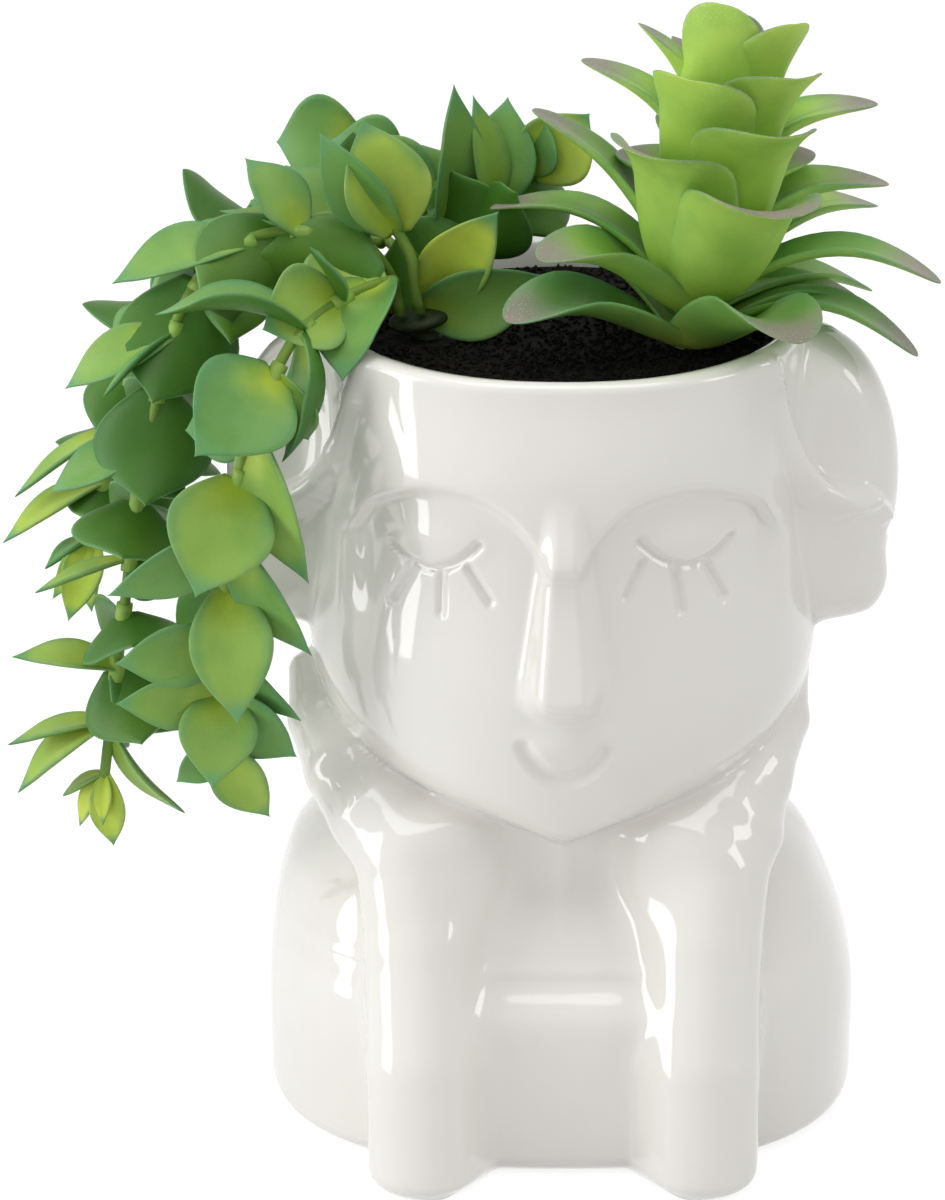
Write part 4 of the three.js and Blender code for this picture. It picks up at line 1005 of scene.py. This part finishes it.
# Leaf tips that the photograph shows: (pair, tip across, tip down, tip depth, width, turn,
# cup, bow, youth). Turn is where the upper face looks: 0 to the viewer, 90 to the right of
# the leaf. Youth makes a leaf lime green. A leaf of no pair grows from the crown. The rear
# branch is hidden and has none here.
LEAVES = {
    "front": [
        (1, 342, 382, -34, 22, 30, 0.9, 0.14, 0), (1, 252, 256, -10, 24, 160, 0.9, 0.10, 0.2),
        (2, 309, 247, -30, 8, 100, 0.5, 0.05, 0), (2, 262, 330, -30, 20, 10, 0.6, 0.05, 0.4),
        (3, 155, 315, -28, 20, 80, 0.8, 0.12, 0.1), (3, 282, 462, -38, 22, 75, 1.0, -0.20, 0),
        (4, 194, 457, -50, 23, 0, 0.3, 0.10, 0), (4, 309, 440, -30, 15, 30, 0.6, 0.1, 0),
        (5, 309, 584, -44, 15, 40, 0.6, 0.08, 0.2), (5, 185, 430, -30, 13, -30, 0.6, 0.08, 0),
        (6, 195, 598, -50, 22, 0, 0.3, 0.10, 0.2), (6, 250, 560, -24, 18, 180, 0.5, 0.1, 0),
        (7, 107, 596, -42, 12, -30, 0.5, 0.08, 0.1), (7, 312, 656, -44, 12, 40, 0.6, 0.08, 0),
        (8, 238, 725, -50, 17, 0, 0.3, 0.12, 0.3), (8, 190, 690, -24, 18, 180, 0.5, 0.1, 0),
        (9, 115, 664, -42, 14, -20, 0.5, 0.08, 0.1), (9, 301, 721, -42, 9, 50, 0.6, 0.08, 0),
        (10, 212, 789, -48, 16, 0, 0.3, 0.12, 0.1), (10, 297, 757, -40, 14, 30, 0.5, 0.1, 0),
        (10, 115, 704, -42, 12, -20, 0.5, 0.08, 0.1),
        (11, 270, 817, -40, 12, 20, 0.5, 0.1, 0.4), (11, 176, 782, -38, 8, -20, 0.5, 0.1, 0)],
    "left": [
        (1, 219, 211, -2, 9, 60, 0.6, 0.05, 0.2), (1, 330, 340, -18, 18, 0, 0.6, 0.1, 0.4),
        (2, 245, 158, -2, 13, 30, 0.6, 0.08, 0.2), (2, 200, 308, -24, 25, 165, 0.8, 0.12, 0.2),
        (3, 112, 284, -10, 13, 40, 0.5, 0.12, 0.1), (3, 230, 345, -20, 16, 180, 0.6, 0.1, 0.2),
        (4, 152, 404, -26, 26, 180, 0.5, 0.12, 0), (4, 150, 330, 0, 16, 180, 0.6, 0.1, 0),
        (5, 65, 389, -14, 11, 30, 0.5, 0.10, 0.1), (5, 104, 396, -26, 5, 80, 0.4, 0.05, 0),
        (6, 145, 507, -28, 25, 180, 0.5, 0.12, 0), (6, 150, 440, 0, 16, 180, 0.6, 0.1, 0),
        (7, 50, 493, -16, 10, 30, 0.5, 0.10, 0.1), (7, 185, 500, -20, 12, 150, 0.5, 0.08, 0),
        (8, 122, 559, -30, 24, 180, 0.5, 0.12, 0.1), (8, 120, 540, 0, 15, 180, 0.6, 0.1, 0),
        (9, 35, 593, -20, 5, 60, 0.5, 0.05, 0.4), (9, 180, 590, -20, 12, 150, 0.5, 0.08, 0),
        (10, 132, 647, -30, 22, 180, 0.5, 0.12, 0), (10, 110, 650, -2, 15, 180, 0.6, 0.1, 0),
        (11, 12, 657, -18, 9, 50, 0.5, 0.08, 0.5), (11, 190, 730, -18, 15, 150, 0.5, 0.08, 0),
        (11, 142, 745, -28, 20, 180, 0.5, 0.16, 0.1),
        (12, 8, 745, -16, 7, 60, 0.5, 0.06, 0.4), (12, 92, 728, -2, 13, 180, 0.5, 0.1, 0),
        (12, 18, 793, -14, 9, 50, 0.5, 0.10, 0.6), (12, 185, 813, -16, 8, 70, 0.5, 0.10, 0.2),
        (13, 63, 796, -12, 4, 60, 0.4, 0.06, 0.3), (13, 114, 846, -14, 8, 10, 0.6, 0.06, 1),
        (13, 80, 826, -10, 5, 40, 0.6, 0.06, 1), (13, 103, 826, -18, 4, 10, 0.6, 0.04, 1)],
    "outer": [
        (1, 285, 165, 10, 14, 30, 0.6, 0.1, 0), (1, 300, 300, -6, 18, 160, 0.6, 0.1, 0.3),
        (2, 250, 200, 10, 12, 30, 0.5, 0.1, 0), (2, 274, 300, 0, 18, 180, 0.6, 0.1, 0.3),
        (3, 210, 320, 2, 18, 180, 0.6, 0.1, 0), (3, 175, 240, 14, 10, 30, 0.6, 0.1, 0),
        (4, 165, 380, 4, 18, 180, 0.6, 0.1, 0), (4, 150, 290, 18, 12, 30, 0.5, 0.1, 0),
        (5, 150, 400, 2, 18, 180, 0.6, 0.1, 0), (5, 110, 350, 16, 12, 30, 0.6, 0.1, 0),
        (6, 100, 440, 2, 16, 180, 0.6, 0.1, 0), (6, 150, 460, 14, 16, 180, 0.6, 0.1, 0),
        (7, 15, 497, 4, 6, 60, 0.5, 0.06, 0.3), (7, 150, 480, 4, 15, 180, 0.6, 0.1, 0),
        (8, 92, 523, 0, 13, 180, 0.6, 0.1, 0), (8, 130, 530, 18, 15, 180, 0.6, 0.1, 0),
        (8, 3, 543, 4, 8, 50, 0.5, 0.08, 0.6), (8, 130, 560, 4, 10, 180, 0.6, 0.1, 0),
        (9, 45, 569, 2, 5, 60, 0.5, 0.08, 0), (9, 52, 600, 0, 6, 0, 0.6, 0.1, 1),
        (9, 68, 622, -2, 9, 0, 0.6, 0.1, 1), (9, 92, 612, 6, 7, 30, 0.6, 0.1, 0.9)],
    "crown": [
        (1, 319, 132, -8, 14, -30, 0.7, 0.06, 0), (1, 362, 119, -4, 20, 10, 0.8, 0.08, 0.7)],
    "upper": [
        (1, 454, 84, 10, 15, 45, 0.7, 0.06, 0), (1, 480, 158, 16, 15, 170, 0.6, 0.1, 0.2),
        (2, 415, 142, 26, 16, 10, 0.6, 0.1, 0), (2, 350, 140, 30, 17, 0, 0.6, 0.1, 0),
        (3, 330, 140, 34, 18, 0, 0.6, 0.1, 0), (3, 440, 150, 38, 15, 160, 0.6, 0.1, 0),
        (4, 276, 142, 40, 20, 0, 0.6, 0.1, 0), (4, 330, 200, 44, 18, 180, 0.6, 0.1, 0)],
    "back": [
        (None, 499, 211, -12, 15, 5, 0.6, -0.06, 1.0), (1, 517, 192, 0, 18, 160, 0.9, 0.1, 0),
        (None, 552, 276, -4, 16, 20, 0.6, 0.12, 0), (1, 452, 170, 8, 17, 165, 0.8, 0.1, 0),
        (0, 405, 215, 6, 17, 170, 0.8, 0.1, 0),
        (None, 396, 236, 6, 17, 170, 0.7, 0.1, 0), (None, 446, 196, 12, 17, 172, 0.7, 0.1, 0),
        (2, 473, 95, 14, 9, 30, 0.6, 0.06, 0.2), (2, 508, 96, 20, 15, 0, 0.4, 0.04, 0),
        (3, 545, 118, 18, 13, -20, 0.6, 0.06, 0), (3, 590, 113, 20, 17, 10, 0.6, 0.08, 0.8),
        (3, 560, 240, 14, 18, 150, 0.6, 0.1, 0.2)],
}


def facing(root, tip, turn):
    """A leaf's up direction: towards the viewer, then turned about the leaf by an angle."""
    along = unit(tip - root)
    level = unit(TO_VIEWER - along * TO_VIEWER.dot(along))
    side = np.cross(along, level)
    angle = math.radians(turn)
    return level * math.cos(angle) + side * math.sin(angle)


REAR_LEAF_WIDTH = 17
REAR_LEAF_OUT = 17
REAR_LEAF_ON = 13


def leaves_behind(middles, steps, seed):
    """Pairs of leaves on a branch that the photograph doesn't show, each pair turned a quarter
    from the last."""
    shells = []
    for pair in range(1, len(middles) - 1):
        way = unit(steps[pair + 1] - steps[pair])
        front_way = unit(TRAIL_FRONT - way * TRAIL_FRONT.dot(way))
        for half_turn_on in (0, math.pi):
            seed += 1
            turn = math.pi / 2 * (pair % 2) + half_turn_on
            out = front_way * math.cos(turn) + np.cross(way, front_way) * math.sin(turn)
            tip = middles[pair] + REAR_LEAF_OUT * out + REAR_LEAF_ON * way
            shells.append(leaf_shell(middles[pair], tip, way, REAR_LEAF_WIDTH, seed=seed))
    return shells


CROWN_LEAF_ROOT = TRAIL_FOOT + TRAIL_AXIS * (CROWN_TOP - 0.8)
seed = 0
for branch, (bearing, route) in BRANCHES.items():
    placed = [(x, y, POT_HEIGHT + above) for x, y, above in route]
    route_points = [branch_root(bearing, 0), branch_root(bearing, 6)] + placed
    steps = smooth_route(route_points, INTERNODE)
    middles = (steps[1:] + steps[:-1]) / 2
    shells = []
    for pair, px, py, depth, width, turn, cup, bow, young in LEAVES.get(branch, []):
        seed += 1
        root = CROWN_LEAF_ROOT if pair is None else middles[pair]
        tip = at_picture(px, py, depth)
        shells.append(leaf_shell(root, tip, facing(root, tip, turn), width, shoulder=0.43,
                                 point=1.4, cup=cup, bow=bow, young=young, seed=seed))
    if branch not in LEAVES:
        behind = leaves_behind(middles, steps, seed)
        seed += len(behind)
        shells += behind
    for pair in range(1, len(middles) - 1):
        way = unit(steps[pair + 1] - steps[pair])
        collar = middles[pair] + np.outer(np.linspace(-COLLAR_REACH, COLLAR_REACH, 4), way)
        shells.append(tube_shell(collar, COLLAR_RADIUS))
    points, faces, shade = join_shells(shells)
    nodes = [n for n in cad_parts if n.startswith("branch_" + branch + "_leaves")]
    make_piece(branch + "_branch_leaves", points, faces, trail_leaf, "trailing",
               nodes, shade)
    points, faces, shade = tube_shell(smooth_route(route_points, 2.5), STEM_RADIUS)
    make_piece(branch + "_branch_stem", points, faces, stem_look, "trailing",
               ["branch_" + branch + "_stem"], shade)


def crown_shell():
    """The round crown that the branch stems are set in, at the top of the stake."""
    sides = 28
    turn = (np.arange(sides) * 2 * math.pi / sides)[:, None]
    half = CROWN_TOP / 2 - 0.9
    rings = []
    for rise in np.linspace(-1, 1, 12):
        radius = (BRANCH_RING + 1.4) * (1 - abs(rise) ** 2.2) ** 0.5 + 0.05
        rings.append(
            TRAIL_FOOT + TRAIL_AXIS * (CROWN_TOP / 2 + 0.9 + rise * half)
            + radius * (np.cos(turn) * TRAIL_FRONT + np.sin(turn) * TRAIL_ACROSS))
    points = np.concatenate(rings)
    return points, closed_stack(len(rings), sides), plain_shade(len(points), 0.05, 0.0)


stake = tube_shell(
    TRAIL_FOOT + np.outer(np.linspace(-STAKE_DEPTH, 1, 12), TRAIL_AXIS), STAKE_RADIUS, 20)
points, faces, shade = join_shells([stake, crown_shell()])
make_piece("trailing_crown", points, faces, crown_look, "trailing", ["trailing_stake"],
           shade)


# Rosette succulent: a leaning stem with eight whorls of cupped, soft plastic leaves threaded
# on it. The tips of the lower leaves roll outwards and are dusted purple grey with white
# grains.
ROSETTE_FOOT = np.array([25, -6, SOIL_TOP])
ROSETTE_LEAN = math.radians(7.5)
ROSETTE_AXIS = np.array([math.sin(ROSETTE_LEAN), 0, math.cos(ROSETTE_LEAN)])
ROSETTE_STEM_TOP = 51
ROSETTE_STEM_RADIUS = 2.2
WHORL_COLLAR_REACH = 1.8
WHORL_COLLAR_RADIUS = 3.2
ROSETTE_HEART = (0.56, 0.72, 0.10)
rosette_leaf = leaf_material("rosette_leaf", 0.5, [
    ROSETTE_HEART, (0.17, 0.38, 0.09), (0.33, 0.29, 0.245), (0.20, 0.40, 0.07), ROSETTE_HEART,
    (0.43, 0.70, 0.13), (0.50, 0.76, 0.13), (0.16, 0.40, 0.17)],
    rib=0.35, tip_from=0.70, grains=0.5)

# Each whorl: height on the stem, then its leaves that the photograph shows (tip across, tip
# down, tip depth, width, cup, bow, lip, bluntness) and those behind (bearing, pitch, length,
# width).
WHORLS = [
    (-0.4, [(506, 322, -26, 22, 0.9, 0.02, 4, 0.5), (798, 344, -42, 25, 1.0, -0.02, 5, 0.5),
         (918, 356, -14, 12, 0.6, 0.17, 3, 0.45)],
     [(165, 18, 36, 18), (-135, 20, 36, 18), (100, 14, 34, 16)]),
    (6, [(538, 260, -22, 21, 1.0, 0.0, 4, 0.5), (490, 208, 4, 12.5, 0.5, 0.12, 4, 0.45),
         (941, 283, -10, 12.5, 0.6, 0.13, 4, 0.45), (532, 110, -4, 14, 0.5, 0.05, 3, 0.45),
         (872, 291, 16, 13, 0.6, 0.10, 2, 0.7)],
     [(150, 26, 38, 17), (-165, 28, 38, 17)]),
    (10, [(776, 219, -40, 31, 1.1, -0.16, 9, 0.33), (642, 156, -34, 29, 1.1, -0.16, 9, 0.33),
          (889, 184, 2, 15, 0.8, 0.14, 3, 0.55), (878, 206, 16, 15, 0.7, 0.10, 3, 0.8)],
     [(150, 40, 34, 22), (-150, 40, 34, 22)]),
    (16.5, [(780, 138, -32, 28, 1.1, -0.15, 8, 0.33)],
     [(170, 46, 30, 24), (-110, 46, 30, 24), (115, 44, 30, 20)]),
    (23, [(690, 80, -30, 25, 1.1, -0.14, 6, 0.33), (581, 60, -2, 14, 0.6, 0.12, 3, 0.5),
          (878, 104, -2, 15, 0.7, 0.12, 3, 0.55)],
     [(130, 50, 28, 22), (-150, 50, 28, 22)]),
    (29, [(798, 79, -26, 24, 1.1, -0.14, 6, 0.33), (638, 23, -8, 16, 0.9, 0.04, 3, 0.8)],
     [(150, 54, 26, 20), (-160, 54, 24, 20)]),
    (34, [(722, 4, -20, 22, 1.25, -0.14, 2, 0.45), (797, 24, -20, 20, 1.1, -0.08, 3, 0.45),
          (672, 36, 4, 14, 0.8, 0.06, 2, 0.8)],
     [(150, 62, 24, 18)]),
    (40, [(745, 14, -2, 18, 1.3, -0.08, 1, 0.5), (768, 34, 6, 14, 1.0, 0.0, 1, 0.6)],
     [(-150, 72, 20, 14)]),
]


def rosette_shell(height, tip, width, cup, bow, lip, blunt, young, seed):
    root = ROSETTE_FOOT + ROSETTE_AXIS * height
    shoulder = 0.72 - 0.3 * blunt
    return leaf_shell(root, tip, ROSETTE_AXIS, width, shoulder=shoulder, base=0.62, point=blunt,
                      bow=bow, cup=cup, lip=lip, thickness=1.9, young=young, seed=seed)


for number, (height, shown, behind) in enumerate(WHORLS, 1):
    shells = []
    foot = ROSETTE_FOOT + ROSETTE_AXIS * height
    young = min(1, (number - 1) / 3)
    for px, py, depth, width, cup, bow, lip, blunt in shown:
        seed += 1
        tip = at_picture(px, py, depth)
        shells.append(rosette_shell(height, tip, width, cup, bow, lip, blunt, young, seed))
    for bearing, pitch, length, width in behind:
        seed += 1
        turn, rise = math.radians(bearing), math.radians(pitch)
        out = np.array([math.sin(turn), -math.cos(turn), 0])
        tip = foot + length * (math.cos(rise) * out + math.sin(rise) * ROSETTE_AXIS)
        shells.append(rosette_shell(height, tip, width, 0.8, 0.1, 2, 0.6, young, seed))
    reach = np.linspace(-WHORL_COLLAR_REACH, WHORL_COLLAR_REACH, 4)
    shells.append(tube_shell(foot + np.outer(reach, ROSETTE_AXIS), WHORL_COLLAR_RADIUS, 16))
    points, faces, shade = join_shells(shells)
    make_piece("rosette_leaves_%d" % number, points, faces, rosette_leaf, "rosette",
               ["rosette_whorl_%d" % number], shade)

stalk_reach = np.linspace(-STAKE_DEPTH, ROSETTE_STEM_TOP, 30)
points, faces, shade = tube_shell(
    ROSETTE_FOOT + np.outer(stalk_reach, ROSETTE_AXIS), ROSETTE_STEM_RADIUS, 16)
make_piece("rosette_stalk", points, faces, crown_look, "rosette", ["rosette_stem"], shade)

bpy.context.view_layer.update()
